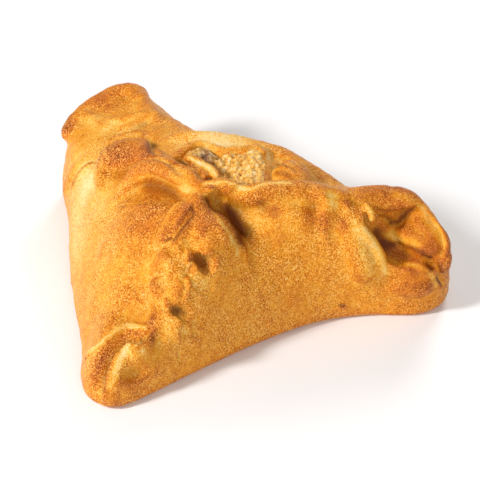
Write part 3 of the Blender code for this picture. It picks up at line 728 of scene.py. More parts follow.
# %% Marks
MARKS = {
    "crease in the front fold": ([(-18, -17.5, 42.5, 0.8), (-18, -19, 41, 1), (-20, -21.5, 40, 1),
        (-21.5, -23, 38.5, 1), (-23.5, -24.5, 37, 0.9), (-26, -26, 35, 0.6)], groove(0.9, 0.8)),
    "swelling right of that dent": ([(8, -13.5, 38, 0.6), (11, -14, 37, 1), (13.5, -15, 34, 0.8)],
        groove(-1.0, 4.0)),
    "dark fold of the front sheet": ([(16, -11.5, 40.5, 0.6), (17, -12, 38, 1), (17.5, -14.5, 35, 0.8),
        (18, -15.5, 31.5, 0.4)], groove(0.8, 2.0)),
    "light fold of the front sheet": ([(18.5, -9.5, 41.5, 0.7), (20, -11.5, 39.5, 1), (20, -13.5, 36, 1),
        (20, -15, 32, 0.8), (20.5, -16, 27.5, 0.4)], groove(-0.8, 1.8)),
    "red crease below the finger hole": ([(-18, -30, 31.5, 0.6), (-19, -30.5, 31, 1), (-20, -31.5, 30, 1),
        (-20.5, -33, 29, 0.6)], groove(1.0, 0.8)),
    "rolled edge of the curl": ([(-20.5, -33, 29, 0.6), (-19.5, -34.5, 28.5, 1), (-19, -35.5, 27.5, 1),
        (-19.5, -36.5, 26, 1), (-20, -37.5, 24.5, 0.6)], groove(-0.8, 0.7)),
    "groove inside that edge": ([(-21.5, -33.5, 29, 0.5), (-20.5, -35, 28.5, 1), (-20, -36, 27.5, 1),
        (-20, -37, 26, 1), (-21, -38, 24.5, 0.6)], groove(0.8, 0.7)),
    "second roll beside it": ([(-19, -34, 28.5, 0.4), (-18.5, -35.5, 27, 1), (-17, -36, 25, 1),
        (-15.5, -35.5, 23.5, 0.5)], groove(-0.6, 0.6)),
    "groove beside the second roll": ([(-18.5, -34.5, 28, 0.5), (-18.5, -35.5, 26.5, 1),
        (-17.5, -36, 25, 0.8)], groove(0.7, 0.7)),
    "crease down from the lower dent": ([(-16.5, -39, 17.5, 0.5), (-17, -41, 15, 1),
        (-17, -42.5, 11.5, 0.6)], groove(1.2, 1.6)),
    "bead": ([(-25.5, -38, 24, 1), (-25, -39, 23.5, 1)], groove(-0.9, 1.0)),
    "ring round the bead": ([(-24, -38, 24.5, 0.8), (-26, -36.5, 24.5, 1), (-27, -37.5, 23.5, 1),
        (-26.5, -39.5, 22.5, 1), (-25, -40.5, 22.5, 0.7)], groove(0.6, 0.6)),
    "fine crease left of the seam": ([(-30, -32.5, 26, 0.5), (-29.5, -31.5, 27, 1), (-28.5, -31.5, 28, 1),
        (-27, -32, 28, 0.6)], groove(0.6, 0.5)),
    "pale edge left of the seam": ([(-29, -32, 27, 0.6), (-29.5, -33, 26, 1), (-29, -34.5, 24.5, 0.7)],
        groove(-0.7, 1.0)),
    "dent in the lumps": ([(-26, -30.5, 31.5, 0.6), (-26.5, -31.5, 29.5, 1), (-26, -33, 27.5, 0.6)],
        groove(1.0, 1.6)),
    "dent between lumps and lip": ([(-22.5, -26.5, 35.5, 0.7), (-24, -27.5, 34.5, 1),
        (-22.5, -29.5, 32.5, 0.6)], groove(0.9, 1.6)),
    "crease on the left face, dark": ([(-33.5, -32.5, 22.5, 0.5), (-32, -33, 22, 1),
        (-30.5, -34, 22.5, 0.5)], groove(0.6, 0.9)),
    "crease on the left face, light": ([(-35, -34, 20.5, 0.5), (-33, -34.5, 20.5, 1), (-31, -35, 21, 0.5)],
        groove(-0.5, 0.9)),
    "slack of the left face": ([(-41, -34.5, 19, 0.5), (-37, -36.5, 18.5, 1), (-33, -37, 19, 1),
        (-30, -37.5, 20.5, 0.6)], groove(1.2, 4.5)),
    "groove of the front corner": ([(-30, -46, 18, 0.5), (-31.5, -47.5, 17, 0.9), (-33, -48.5, 16.5, 1),
        (-35.5, -47, 16, 1), (-37, -47.5, 15, 1), (-39, -49.5, 14.5, 1.1), (-40.5, -52, 13.5, 1.1),
        (-41.5, -54, 11.5, 1.1), (-42.5, -55.5, 9, 1), (-43, -56.5, 7, 0.6)], lip(1.3, 4.5, 2.8, 2.8, 0.8)),
    "edge of the left lobe": ([(-49, -45.5, 9.5, 0.5), (-47, -45.5, 12, 1), (-45, -46, 13.5, 1),
        (-42, -44.5, 15, 1), (-39.5, -42, 16, 1), (-37, -40, 17, 1), (-34.5, -40.5, 17.5, 1),
        (-31.5, -43.5, 18.5, 1), (-30.5, -45.5, 18.5, 0.6)], groove(-0.9, 1.0)),
    "fold under that hollow": ([(-32.5, -53.5, 8, 0.4), (-30, -51.5, 7.5, 1), (-26.5, -49.5, 7, 0.5)],
        groove(-0.6, 1.2)),
    "valley behind the front corner": ([(-27.5, -45.5, 18, 0.5), (-27.5, -47, 15, 1),
        (-28, -48.5, 12.5, 0.6)], groove(1.2, 1.8)),
    "scar": ([(-29, -47.5, 16, 0.8), (-27.5, -47, 15.5, 1), (-25.5, -46, 15, 0.6)], groove(0.5, 0.4)),
    "crack right of the scar": ([(-21.5, -44.5, 10.5, 0.6), (-21.5, -45, 9, 1), (-21.5, -45.5, 7.5, 0.5)],
        groove(0.7, 0.6)),
    "crack behind the bulb": ([(-32.5, 26.5, 35, 0.5), (-31, 22.5, 35.5, 1), (-30, 12.5, 40.5, 1),
        (-28.5, 8.5, 41.5, 0.6)], groove(1.6, 1.0)),
    "valley behind the bulb": ([(-43.5, 32, 31, 0.6), (-41, 32.5, 31.5, 1), (-39, 32.5, 32.5, 1),
        (-37, 33, 33, 1), (-34.5, 35, 33.5, 1), (-32, 35.5, 34.5, 0.6)], groove(1.0, 1.3)),
    "rim of the bulb": ([(-44, 30, 31, 0.5), (-42, 31, 31.5, 1), (-39, 30.5, 32.5, 1), (-36, 30.5, 33.5, 1),
        (-33.5, 28, 34.5, 0.8)], groove(-0.7, 1.2)),
    "furrow of the back seam": ([(-29, 6.5, 41.5, 0.5), (-26.5, 2.5, 42.5, 1), (-23.5, -0.5, 43, 1),
        (-21, -3.5, 44, 0.7)], groove(0.9, 0.9)),
    "second furrow of the back seam": ([(-26, 1, 40.5, 0.5), (-23.5, -1.5, 41.5, 1), (-20.5, -5, 43.5, 1),
        (-18.5, -7, 44, 0.5)], groove(0.6, 0.8)),
    "arch": ([(-48.5, 23.5, 28, 1.1), (-49.5, 24, 27.5, 1.2), (-51, 24.5, 26, 1), (-52.5, 25.5, 24, 1),
        (-54.5, 26, 20, 1), (-56, 27, 16, 1), (-57, 28.5, 11.5, 0.6)], lip(0.8, 1.4, 1.0, 1.4)),
    "notch of the arch": ([(-48.5, 23.5, 28, 1), (-49, 23, 27, 1)], groove(1.8, 1.3)),
    "valley of the back corner": ([(-48.5, 43.5, 30, 0.5), (-46, 40, 31.5, 0.8), (-43.5, 37.5, 32.5, 1),
        (-41, 36.5, 33, 1), (-38.5, 36.5, 34, 1), (-35.5, 38, 35, 0.6)], groove(1.0, 1.2)),
    "stretch line, first": ([(-39.5, -2.5, 33, 0.5), (-35, -6, 35.5, 1), (-30.5, -7, 36.5, 0.6)],
        groove(-0.4, 0.8)),
    "stretch line, second": ([(-39.5, -5, 32, 0.5), (-34, -8.5, 35.5, 1), (-28, -12, 37.5, 0.6)],
        groove(-0.4, 0.8)),
    "groove beside the flap": ([(-22.5, 7, 40, 0.5), (-21, 7, 39.5, 1), (-19, 5, 39.5, 1),
        (-17.5, 1.5, 39.5, 1), (-16, -7, 44, 0.8)], groove(0.9, 1.0)),
    "first layer of the mound": ([(5.5, 9.5, 38.5, 0.5), (7.5, 10, 39, 1), (9.5, 9.5, 39, 1),
        (12.5, 2, 42, 1), (14.5, 3, 37, 0.5)], lip(0.35, 1.2, 0.6, 0.6)),
    "second layer of the mound": ([(6, 7.5, 38, 0.5), (7.5, 8.5, 38, 1), (9.5, 2, 43, 1), (11, 0.5, 42, 1),
        (12.5, -1, 40, 0.5)], lip(0.3, 1.0, 0.5, 0.6)),
    "third layer of the mound": ([(5.5, 3, 39.5, 0.5), (7, 1, 42, 1), (9, 0, 42.5, 1),
        (10.5, -1, 41.5, 0.6)], lip(0.25, 0.9, 0.4, 0.5)),
    "dip at the near rim": ([(-7, -12.5, 43.5, 0.8), (-4.5, -13, 43.5, 1), (-2.5, -13, 43.5, 0.6)],
        groove(0.8, 1.8)),
    "line between collar and sheet": ([(19, -10.5, 41.5, 0.4), (21, -10.5, 40.5, 1), (23.5, -10.5, 40, 1),
        (26, -10, 39, 1), (29, -9.5, 37.5, 1), (31, -10, 36.5, 0.8)], groove(0.5, 0.8)),
    "crack across the collar": ([(36, -10.5, 32.5, 0.6), (38.5, -9, 29.5, 1), (40, -8.5, 28.5, 1),
        (42, -8, 29.5, 1), (43.5, -7.5, 31, 1), (45.5, -7.5, 32.5, 1), (46.5, -7.5, 34, 0.6)],
        groove(0.8, 0.9)),
    "crack right of the lip": ([(49.5, -14, 20, 0.6), (51, -14.5, 18.5, 1), (52.5, -15, 16.5, 1),
        (53.5, -13.5, 13, 1), (55.5, -12, 8.5, 0.7)], groove(1.3, 1.0)),
    "edge of the lip": ([(45, -13.5, 16.5, 0.6), (47, -13, 16.5, 1), (49, -12.5, 16, 1), (51, -15, 16.5, 1),
        (53, -14.5, 13, 1), (54.5, -13, 8.5, 0.6)], groove(-0.8, 1.0)),
    "inner side of the rim": ([(47.5, -7, 34, 0.5), (50, -7.5, 30.5, 1), (52.5, -8.5, 26, 1),
        (54, -11, 22.5, 1), (54.5, -15, 20.5, 0.6)], groove(0.9, 1.4)),
    "valley above the finger hole": ([(-20, -24.5, 37.5, 0.4), (-19, -26.5, 35.5, 1), (-18, -28.5, 34, 1)],
        groove(1.2, 2.0)),
    "swelling of the right lobe": ([(-37, -51, 14, 0.6), (-34.5, -50.5, 15.5, 1), (-31, -50, 14.5, 0.7)],
        groove(-0.9, 4.0)),
}
work(crust, MARKS)
print("marks:", len(MARKS), round(time.time() - started, 1), "s")

# %% [markdown]
# ## Relief of the baked skin
# Baked dough is never quite smooth: it blisters and ripples a little. A Displace modifier with a noise
# texture would do, but the same noise has to shape the filling too, so it is written out. Each corner of a
# lattice gets a value from a hash of its three whole numbers, and a point takes a smooth blend of the eight
# corners round it. It runs on whole arrays, and the same seed always gives the same skin.

# %% Ripples
# height in mm, size in mm and seed of each layer
RIPPLES = [(0.22, 5.0, 1), (0.13, 2.2, 2), (0.07, 1.1, 3)]
FLAT_FOOT, FOOT_FADE = 0.8, 2.0
# large odd numbers that scatter the hash
HASH_PLACE = (73856093, 19349663, 83492791)
HASH_SEED, HASH_MIX = 2654435761, 1274126177


def lattice_noise(points, size, seed):
    """Noise from -1 to 1: a smooth blend of hashed values at the corners of the cube round points / size."""
    place = points / size + 100.0
    cell = np.floor(place).astype(np.int64)
    t = place - cell
    t = t * t * t * (t * (6 * t - 15) + 10)
    total = np.zeros(len(points))
    for corner in np.ndindex(2, 2, 2):
        i, j, k = (cell + corner).T
        mixed = (i * HASH_PLACE[0]) ^ (j * HASH_PLACE[1]) ^ (k * HASH_PLACE[2]) ^ (seed * HASH_SEED)
        mixed = (mixed ^ (mixed >> 13)) * HASH_MIX
        value = ((mixed ^ (mixed >> 16)) & 0xFFFF) / 32767.5 - 1.0
        share = np.prod(np.where(corner, t, 1 - t), axis=1)
        total += value * share
    return total


def layered_noise(points, layers):
    """The sum of height * noise over the layers."""
    return sum(height * lattice_noise(points, size, seed) for height, size, seed in layers)


points, normals = read_points(crust), read_normals(crust)
ripples = layered_noise(points, RIPPLES)
above = np.clip((points[:, 2] - FLAT_FOOT) / FOOT_FADE, 0, 1)
points = soften(points, edges, 2) + (ripples * above)[:, None] * normals
write_points(crust, points)
print("ripples up to", round(float(np.abs(ripples).max()), 2), "mm")

# %% [markdown]
# ## Where the crust is brown
# An oven browns what stands out and leaves hollows pale, and the egg wash that ran into fine creases goes
# dark.
# Pits and hollows also get a dark brown that stands for the shade in them: painted shade. So the colour is
# worked out from the form: how far each point stands out from a smoothed copy of the skin. Some places differ
# for reasons that the form doesn't tell, and those are named patches: a place, how far it reaches and how
# much more it is baked. Some of them are paler or darker only for the light or shade that falls there:
# painted light and painted shade.

# %% Patches
PATCHES = {
    "cream at the far left": ((-54.5, 17.5, 15.5), 10, -0.14),
    "cream at the far left, lower": ((-53, 2, 14), 11, -0.18),
    "pale under the arch": ((-50.5, 18, 24), 6.5, -0.3),
    "pale column": ((-44.5, 3, 28.5), 6, -0.12),
    "yellow of the left face": ((-44, -19, 22.5), 16, -0.04),
    "brown under the cavity": ((-33.5, -12, 35.5), 9, 0.12),
    "brown left of the lip": ((-31.5, -19.5, 32.5), 6, 0.06),
    # painted shade: the cavity under the back seam is darker for the shade in it
    "cavity": ((-28, -1.5, 36.5), 7, 0.1),
    # painted light: the back slope is paler where the light from behind falls on it
    "cream over the back": ((-15, 19, 42), 9, -0.25),
    "cream over the back, right": ((-7, 16, 41), 9, -0.22),
    "yellow of the back corner's wall": ((-52.5, 31, 26.5), 8, -0.08),
    "brown top of the bulb": ((-41, 16, 37), 6, 0.16),
    "brown top of the bulb, right": ((-32, 10, 40.5), 5, 0.16),
    "bulb's front": ((-38, 12, 33.5), 6, 0.12),
    "brown facet of the back corner": ((-42.5, 54.5, 29.5), 8, 0.08),
    "brown facet, left": ((-47.5, 51, 28.5), 5, 0.1),
    "tip of the back corner": ((-58.5, 45, 26), 4, 0.14),
    # painted highlights: the crest of the back corner is paler where it catches the light
    "pale crest of the back corner": ((-50, 43.5, 29), 3.5, -0.16),
    "pale crest of the back corner, right": ((-43.5, 37, 31.5), 3.5, -0.16),
    "yellow crest of the back corner": ((-35.5, 36.5, 34), 4, -0.08),
    "brown behind the bulb": ((-31, 31.5, 34.5), 4.5, 0.06),
    # painted highlight: the rim of the bulb is paler where it catches the light
    "rim of the bulb": ((-39, 31, 32.5), 3, -0.12),
    "right end": ((42, -7.5, 34.5), 10, 0.17),
    "right end, lower": ((48, -18.5, 13.5), 10, 0.14),
    "right tip": ((53.5, -12, 21.5), 8, 0.14),
    "brown fold before the collar": ((24.5, -13.5, 35.5), 5, 0.1),
    "brown fold of the front sheet": ((16, -14, 36), 4.5, 0.08),
    # painted highlight and painted light: a spot and a swelling of the front sheet are paler where light
    # falls
    "painted highlight on the front sheet": ((22, -12, 39), 3, -0.2),
    "painted light on the swelling": ((12, -14.5, 36), 4.5, -0.1),
    "facet left of the crest": ((-15.5, -20, 38.5), 5, 0.2),
    # painted light: the slope right of the pit, lit from the left, is paler
    "painted light right of the pit": ((-1, -14.5, 33.5), 4, -0.08),
    "front face": ((4, -22.5, 22.5), 20, 0.02),
    "foot of the front": ((-4.5, -33.5, 5.5), 10, -0.02),
    "foot of the front, left": ((-19, -44, 2), 8, -0.02),
    "yellow under the lower seam": ((-23, -43, 19.5), 4.5, -0.12),
    # painted light: the right lobe is paler where the light from the left falls on it
    "painted light on the right lobe": ((-35.5, -51, 16.5), 5, -0.16),
    "brown top of the left lobe": ((-35, -44.5, 18), 4.5, 0.14),
    "groove of the front corner": ((-46, -54.5, 11.5), 3.5, 0.1),
    "left lobe of the front corner": ((-48, -54, 9), 5, -0.02),
    # painted shade: the hollow under the right lobe is darker for the shade in it
    "hollow under the right lobe": ((-33.5, -54, 9.5), 4, 0.12),
    "foot of the front corner": ((-37.5, -56.5, 6.5), 5, 0.06),
    # painted light: the side of the finger hole that the light from the left falls on is paler
    "painted light beside the finger hole": ((-15, -33, 28), 4, -0.14),
    "curl": ((-24.5, -36, 26), 5, -0.02),
    "gold of the lower left face": ((-38.5, -38.5, 17.5), 9, 0.04),
    # painted highlight: the near rim is a little paler where it catches the light
    "near rim": ((-4.5, -11, 44), 3, -0.06),
    "far rim": ((-9, 9.5, 42.5), 2.5, 0.04),
    "mound": ((8, -1, 41.5), 5, -0.06),
    "pale gap before the mound": ((3, 8, 39.5), 3.5, -0.14),
}
print("patches:", len(PATCHES))

# %% [markdown]
# ## Painted highlights, painted shade and dark cracks
# Many rims and ridges are paler where they catch the light: painted highlights and painted light. Pits,
# hollows and the places under overhanging edges are darker for the shade in them: painted shade. Cracks and
# fine creases are dark, and some strips are browner. All of them are long and thin. They could be painted on
# an image by hand, but the image would need the skin unwrapped first. Here each is a line that is pulled onto
# the skin. A row gives x, y, z and the width. Two numbers follow: the change in baking, and in the brown of
# the creases and the painted shade.

# %% Lines
LINES = {
    # painted highlights: the crest, the left edge and the rise by the crease of the front fold catch the
    # light
    "crest of the front fold": ([(-14, -15.5, 42.5, 0.7), (-12.5, -17, 40.5, 0.8), (-11, -20, 40, 0.8),
        (-9, -22, 38.5, 0.9), (-7.5, -23, 36.5, 0.9), (-5.5, -23.5, 32, 0.9), (-5, -24.5, 30.5, 0.9)],
        -0.26, 0),
    "left edge of the front fold": ([(-22.5, -16, 42, 0.9), (-24.5, -16.5, 41, 1), (-26, -19, 39, 1.1),
        (-27.5, -21.5, 37, 1.1), (-29, -23.5, 34, 1), (-30.5, -23, 31, 0.9)], -0.12, 0),
    "rise beside the crease of the fold": ([(-17, -18.5, 41.5, 0.5), (-19, -21.5, 39.5, 0.6),
        (-21, -23.5, 38, 0.6), (-23.5, -25, 36.5, 0.5)], -0.15, 0),
    # painted highlight: the near rim of the vent is paler where it catches the light
    "painted highlight on the near rim": ([(-14.5, -8.5, 43, 0.7), (-12, -9.5, 44.5, 0.7), (-9.5, -9.5, 44.5, 0.8),
        (-6.5, -10, 44.5, 0.8), (-4, -11, 43.5, 0.8), (-1, -11.5, 44, 0.8), (2, -9.5, 44, 0.8),
        (6.5, -9, 44, 0.7), (9.5, -9, 43.5, 0.6)], -0.34, 0),
    "beak": ([(-14.5, -13.5, 43, 0.8), (-12.5, -13, 43, 0.9), (-11.5, -12, 43, 0.7)], -0.26, 0),
    # painted highlight: the rim of the pouch is paler where it catches the light
    "painted highlight on the rim of the pouch": ([(40.5, -6, 37.5, 1.4), (44.5, -6.5, 35.5, 1.6), (48, -7.5, 34, 1.6),
        (50, -8.5, 30.5, 1.6), (52.5, -11, 28, 1.6), (54.5, -13, 25, 1.3)], -0.22, 0),
    # painted light: the edge of the front sheet is paler where the light from the left falls on it
    "edge of the front sheet": ([(31, -15.5, 32, 1.2), (33, -16, 30, 1.5), (34.5, -16.5, 27, 1.4),
        (36, -17, 24.5, 1.3), (37, -18, 21, 1.1), (38, -17.5, 16.5, 0.9)], -0.34, 0),
    "torn tab": ([(31.5, -11.5, 37.5, 1), (33, -12.5, 36.5, 1), (33.5, -13, 35, 1), (33, -13.5, 33, 1)],
        -0.34, 0),
    # painted highlight: a pale spot at the top of the front sheet where it catches the light
    "painted highlight at the top of the sheet": ([(20.5, -11, 40, 2), (21.5, -12, 38.5, 2)], -0.12, 0),
    "flap": ([(-19.5, 2.5, 44.5, 0.6), (-17, 1, 44, 0.7), (-14.5, -0.5, 44, 0.8), (-12.5, -2.5, 43.5, 0.8),
        (-11.5, -4, 42.5, 0.8), (-11, -6.5, 42.5, 0.7)], -0.42, 0),
    # painted highlight: the edge of the left lobe is paler where it catches the light
    "edge of the left lobe": ([(-48.5, -44, 9, 0.8), (-45, -46, 13.5, 1), (-42, -44, 15, 1),
        (-39.5, -42, 16, 1), (-37, -40, 16.5, 1), (-34.5, -41, 17, 1), (-31.5, -43.5, 18.5, 0.8)],
        -0.42, 0),
    # painted highlight: the top edge of the lower lip is paler where it catches the light
    "painted highlight on the lower lip": ([(44.5, -15, 18.5, 0.9), (46.5, -15.5, 18.5, 1.1), (49, -16, 17.5, 1.1),
        (51.5, -15.5, 15, 1.1), (53.5, -15, 10.5, 0.9)], -0.28, 0),
    # painted light: the inner fold of the pouch is paler where the light from above falls on it
    "painted light on the inner fold": ([(38.5, -9.5, 25, 1.2), (41, -10.5, 24.5, 1.7), (44, -12.5, 25, 1.7),
        (47, -13.5, 24.5, 1.4)], -0.24, 0),
    "end of the back seam": ([(-24, -4.5, 43, 1.2), (-22, -6, 42, 1.5), (-20, -8, 41.5, 1.5),
        (-18, -9.5, 41.5, 1)], -0.2, 0),
    # painted light: the edge over the cavity is paler where the light from above falls on it
    "painted light on the edge under the back seam": ([(-34, 1, 38, 0.6), (-31, -0.5, 39.5, 0.7), (-28, -2, 39.5, 0.7),
        (-24, -6, 40, 0.7), (-20, -8.5, 40, 0.6)], -0.24, 0),
    "crease of the front fold": ([(-18, -17.5, 42, 0.5), (-18, -19.5, 41, 0.6), (-19.5, -21.5, 40, 0.6),
        (-21.5, -23.5, 38.5, 0.6), (-23.5, -25, 36.5, 0.6), (-26, -25, 35, 0.4)], 0.14, 0.75),
    "red crease below the finger hole": ([(-18.5, -30.5, 32, 0.5), (-19.5, -31.5, 30.5, 0.6),
        (-20.5, -34, 29, 0.5)], 0.1, 0.6),
    "crack of the collar": ([(36, -9.5, 32, 0.6), (40.5, -7.5, 28, 0.7), (43.5, -6.5, 30, 0.7),
        (46.5, -7.5, 34, 0.6)], 0.1, 0.6),
    "crack of the lower lip": ([(50.5, -15, 19.5, 0.7), (53.5, -16, 16, 0.9), (55.5, -12.5, 9, 0.7)],
        0.1, 0.8),
    # painted shade: under the inner fold, in its shadow, and deep in the pouch the skin is darker
    "painted shadow under the inner fold": ([(37.5, -10.5, 23, 0.9), (40, -10.5, 22.5, 0.9), (44.5, -13, 23, 0.9),
        (48, -14.5, 22.5, 0.9), (50.5, -15, 19.5, 0.7)], 0.1, 0.6),
    "painted shade deep in the pouch": ([(35.5, -10, 26.5, 1.8), (36, -10, 24.5, 2.2), (38, -11, 22, 2)],
        0.1, 0.75),
    "painted shade on the floor of the pouch": ([(40, -11.5, 20.5, 2.2), (42.5, -12, 19.5, 2), (45.5, -13.5, 19.5, 1.4)],
        0.16, 0.3),
    # painted shadow: a dark line where the dough over the arch overhangs the pale dough below it
    "painted shadow under the arch": ([(-48.5, 23, 28.5, 0.5), (-51, 24, 26.5, 0.5), (-53, 25, 24, 0.5),
        (-54.5, 25.5, 20.5, 0.5), (-55.5, 25.5, 17.5, 0.4)], 0.1, 0.4),
    "crack behind the bulb": ([(-32.5, 24.5, 35.5, 0.6), (-31, 15, 40.5, 0.8), (-30, 10, 41.5, 0.6)],
        0.1, 0.5),
    "groove of the front corner": ([(-30.5, -47, 17.5, 0.7), (-31.5, -48, 17, 0.8), (-33, -48.5, 16.5, 0.8),
        (-35.5, -47, 16, 0.8), (-37, -47.5, 15, 0.9), (-39, -49.5, 14.5, 1), (-41, -52, 13, 1),
        (-42, -54, 11.5, 1), (-42.5, -55.5, 9.5, 1), (-43, -56.5, 7, 0.9)], 0.14, 0.7),
    "line under the flap": ([(-25, 1.5, 43.5, 0.5), (-22.5, 1, 43.5, 0.6), (-20, 0.5, 43.5, 0.6),
        (-16.5, -3.5, 44, 0.7), (-15, -7.5, 44, 0.6)], 0.1, 0.45),
    "first arc of the mound": ([(4.5, 6, 39, 0.5), (7.5, 2.5, 42, 0.6), (10, 0, 43, 0.6),
        (11.5, -2, 42.5, 0.5)], 0.1, 0.3),
    "second arc of the mound": ([(5, 1, 40, 0.6), (8, -2, 42, 0.8), (10.5, -4, 41.5, 0.7)], 0.12, 0.4),
    # painted shade: the pit beside the crest, the finger hole and the dents are darker for the shade in them
    "pit beside the crest": ([(-8.5, -12, 37, 2), (-6.5, -13, 34.5, 2.6), (-5, -15, 32.5, 2.6),
        (-3.5, -17, 31.5, 2)], 0.08, 0.75),
    "finger hole": ([(-17.5, -29, 33, 1.4), (-16.5, -27, 29, 1.8), (-14.5, -27.5, 28, 1.6)], 0.1, 0.4),
    "lower dent": ([(-24, -40, 22.5, 1.2), (-22.5, -39, 21, 1.5), (-20.5, -39, 20, 1.2)], 0.1, 0.6),
    "first dent of the front": ([(1.5, -13, 39.5, 1.3), (2.5, -13, 37.5, 1.6)], 0.1, 0.35),
    "second dent of the front": ([(5.5, -13.5, 38, 1.4), (5.5, -14.5, 36.5, 1.4)], 0.1, 0.25),
    "brown stripe of the front sheet": ([(16, -11.5, 40.5, 2), (17, -13, 37, 2.4), (18, -15, 33, 2)],
        0.1, 0),
    "second brown stripe": ([(24.5, -11.5, 38.5, 1.6), (25, -13, 35.5, 2), (25.5, -15.5, 32.5, 1.8)],
        0.1, 0),
    "brown valley of the lower seam": ([(-30, -37, 21.5, 1.2), (-29.5, -42, 20, 1.6),
        (-29.5, -47.5, 16.5, 1.2)], 0.18, 0.1),
    # painted shade: the strip that slopes down into the groove of the front corner is browner for its shade
    "painted shade on the strip of the front corner": ([(-36.5, -42, 16, 1.4), (-34, -43.5, 17, 1.8),
        (-31.5, -46, 18, 1.4)], 0.08, 0),
    "shade under the back seam": ([(-31.5, 0, 36, 1.8), (-28.5, -2, 36.5, 2.4), (-25.5, -4.5, 37.5, 2.4),
        (-23, -8, 38, 1.8)], 0.06, 0.42),
    # painted shade: below the near rim the skin faces away from the light and is browner
    "painted shade under the near rim": ([(-10, -11, 42.5, 3), (-5.5, -12.5, 41.5, 4), (-1, -13.5, 41.5, 4)],
        0.06, 0),
    "brown left of that crease": ([(-20, -19, 41.5, 2), (-21.5, -21, 40, 2.4), (-24, -23, 37.5, 2.4),
        (-26, -24.5, 35.5, 1.8)], 0.11, 0),
    # painted shadow: the crest's right wall and the pit's floor, in the crest's shadow, are dark
    "painted shadow right of the crest": ([(-12.5, -15, 42, 1.8), (-11, -15.5, 40.5, 2.2), (-9.5, -16.5, 38.5, 2.6),
        (-8.5, -17, 36.5, 2.9), (-7, -18.5, 34.5, 2.9), (-6, -20, 33.5, 2.5), (-5, -21, 32.5, 2)],
        0.24, 0.95),
    # painted light: the edge of the right lobe is paler where the light from the left falls on it
    "painted light on the edge of the right lobe": ([(-32.5, -50, 15.5, 0.9), (-35, -49, 16, 1), (-36.5, -50, 15.5, 1.1),
        (-37.5, -51.5, 14.5, 1.2), (-39, -53.5, 13, 1.3), (-40, -55, 11, 1.3), (-41, -56.5, 8.5, 1.1)],
        -0.34, 0),
    # painted shade: the slope left of the groove of the front corner is browner for its shade
    "painted shade beside the groove": ([(-38.5, -43.5, 15, 1.5), (-41, -47, 14.5, 1.8), (-43, -50, 13, 2),
        (-44, -52.5, 11.5, 2), (-44.5, -54.5, 9, 1.8)], 0.16, 0.05),
    # painted highlight: the ridge of the front sheet is paler where it catches the light
    "painted highlight on the ridge of the front sheet": ([(26, -12.5, 36, 1.6), (28, -15, 33.5, 2), (29.5, -16.5, 30, 2.2),
        (31, -17.5, 26, 2.2), (32.5, -18.5, 21.5, 2), (33.5, -18.5, 17.5, 1.6)], -0.2, 0),
    "burnt spot": ([(25, -18.5, 6, 0.5), (26, -18.5, 5.5, 0.6)], 0.3, 0.8),
}
print("lines:", len(LINES))

# %% [markdown]
# ## Storing the browning and the painted shade
# A material can't ask how far a place stands out, so three numbers are stored with each point for it to read:
# how far the place is baked, how much crease brown and painted shade it has, and how grainy it is. The right
# corner is the least grainy, because most of the egg wash is there.

# %% Browning and painted shade
BROAD, FINE, DEEP = 2.4, 0.8, 4.0
SHADE_SPREAD = 1.2
LINE_STEP = 0.5
SMOOTH_CORNER = (48, -11, 24)
SMOOTH_REACH = 12


def line_share(points, tree, places):
    """For each point exp(-(distance / width)^2), for the nearest sample of the line on the skin."""
    path = spline(places, LINE_STEP)
    on_skin, _ = pull_to_skin(path, tree)
    near = box_round(points, on_skin, 3 * path[:, 3].max())
    share = np.zeros(len(points))
    for place, width in zip(on_skin, path[:, 3]):
        share[near] = np.maximum(share[near], np.exp(-((points[near] - place) ** 2).sum(1) / width**2))
    return share


def patch_share(points, place, radius):
    """For each point exp(-(distance / radius)^2)."""
    return np.exp(-((points - place) ** 2).sum(1) / radius**2)


def standing_out(points, normals, edges, reach):
    """How far each point stands out of the skin smoothed over the reach, in millimetres."""
    smooth = soften(points, edges, passes_over(reach))
    return ((points - smooth) * normals).sum(1)


def sunk(out, depth, start):
    """How far a place lies below its surroundings: -out / depth - start, held between 0 and 1."""
    return np.clip(-out / depth - start, 0, 1)


def keep(thing, name, values):
    """Stores one number for each point, under a name that a material can read."""
    layer = thing.data.attributes.new(name, "FLOAT", "POINT")
    layer.data.foreach_set("value", values.astype(np.float32))


normals = read_normals(crust)
broad, fine, deep = (standing_out(points, normals, edges, reach) for reach in (BROAD, FINE, DEEP))
# 0.5 on even skin, up to 0.10 more where it stands out broadly and up to 0.05 more where it does finely
bake = 0.5 + 0.10 * np.tanh(broad / 0.5) + 0.05 * np.tanh(fine / 0.08)
# painted shade: up to 0.35 in a broad hollow and 0.5 in a deep one, spread a little; 0.2 in a fine crease
shaded = 0.35 * sunk(broad, 0.8, 0.3) + 0.5 * sunk(deep, 1.5, 0.3)
crease = soften(shaded[:, None], edges, passes_over(SHADE_SPREAD))[:, 0] + 0.2 * sunk(fine, 0.14, 0.7)
for place, radius, change in PATCHES.values():
    bake += change * patch_share(points, place, radius)
_, tree = skin_tree(crust, points)
for places, more_bake, more_crease_and_shade in LINES.values():
    share = line_share(points, tree, places)
    bake += more_bake * share
    crease += more_crease_and_shade * share
keep(crust, "bake", np.clip(bake, 0, 1))
# crease: the dark of creases and cracks, and the painted shade of pits, hollows and places under edges
keep(crust, "crease", np.clip(crease, 0, 1))
keep(crust, "grain", 1 - 0.6 * patch_share(points, SMOOTH_CORNER, SMOOTH_REACH))
print("bake", round(float(bake.min()), 2), "to", round(float(bake.max()), 2))

# %% [markdown]
# ## Fewer triangles
# The even net spends as many quads on the flat underside as on a crease. A Decimate modifier in its collapse
# mode merges points where the skin hardly bends, so the detail stays and the mesh is light enough to share.
# It carries the stored numbers along.

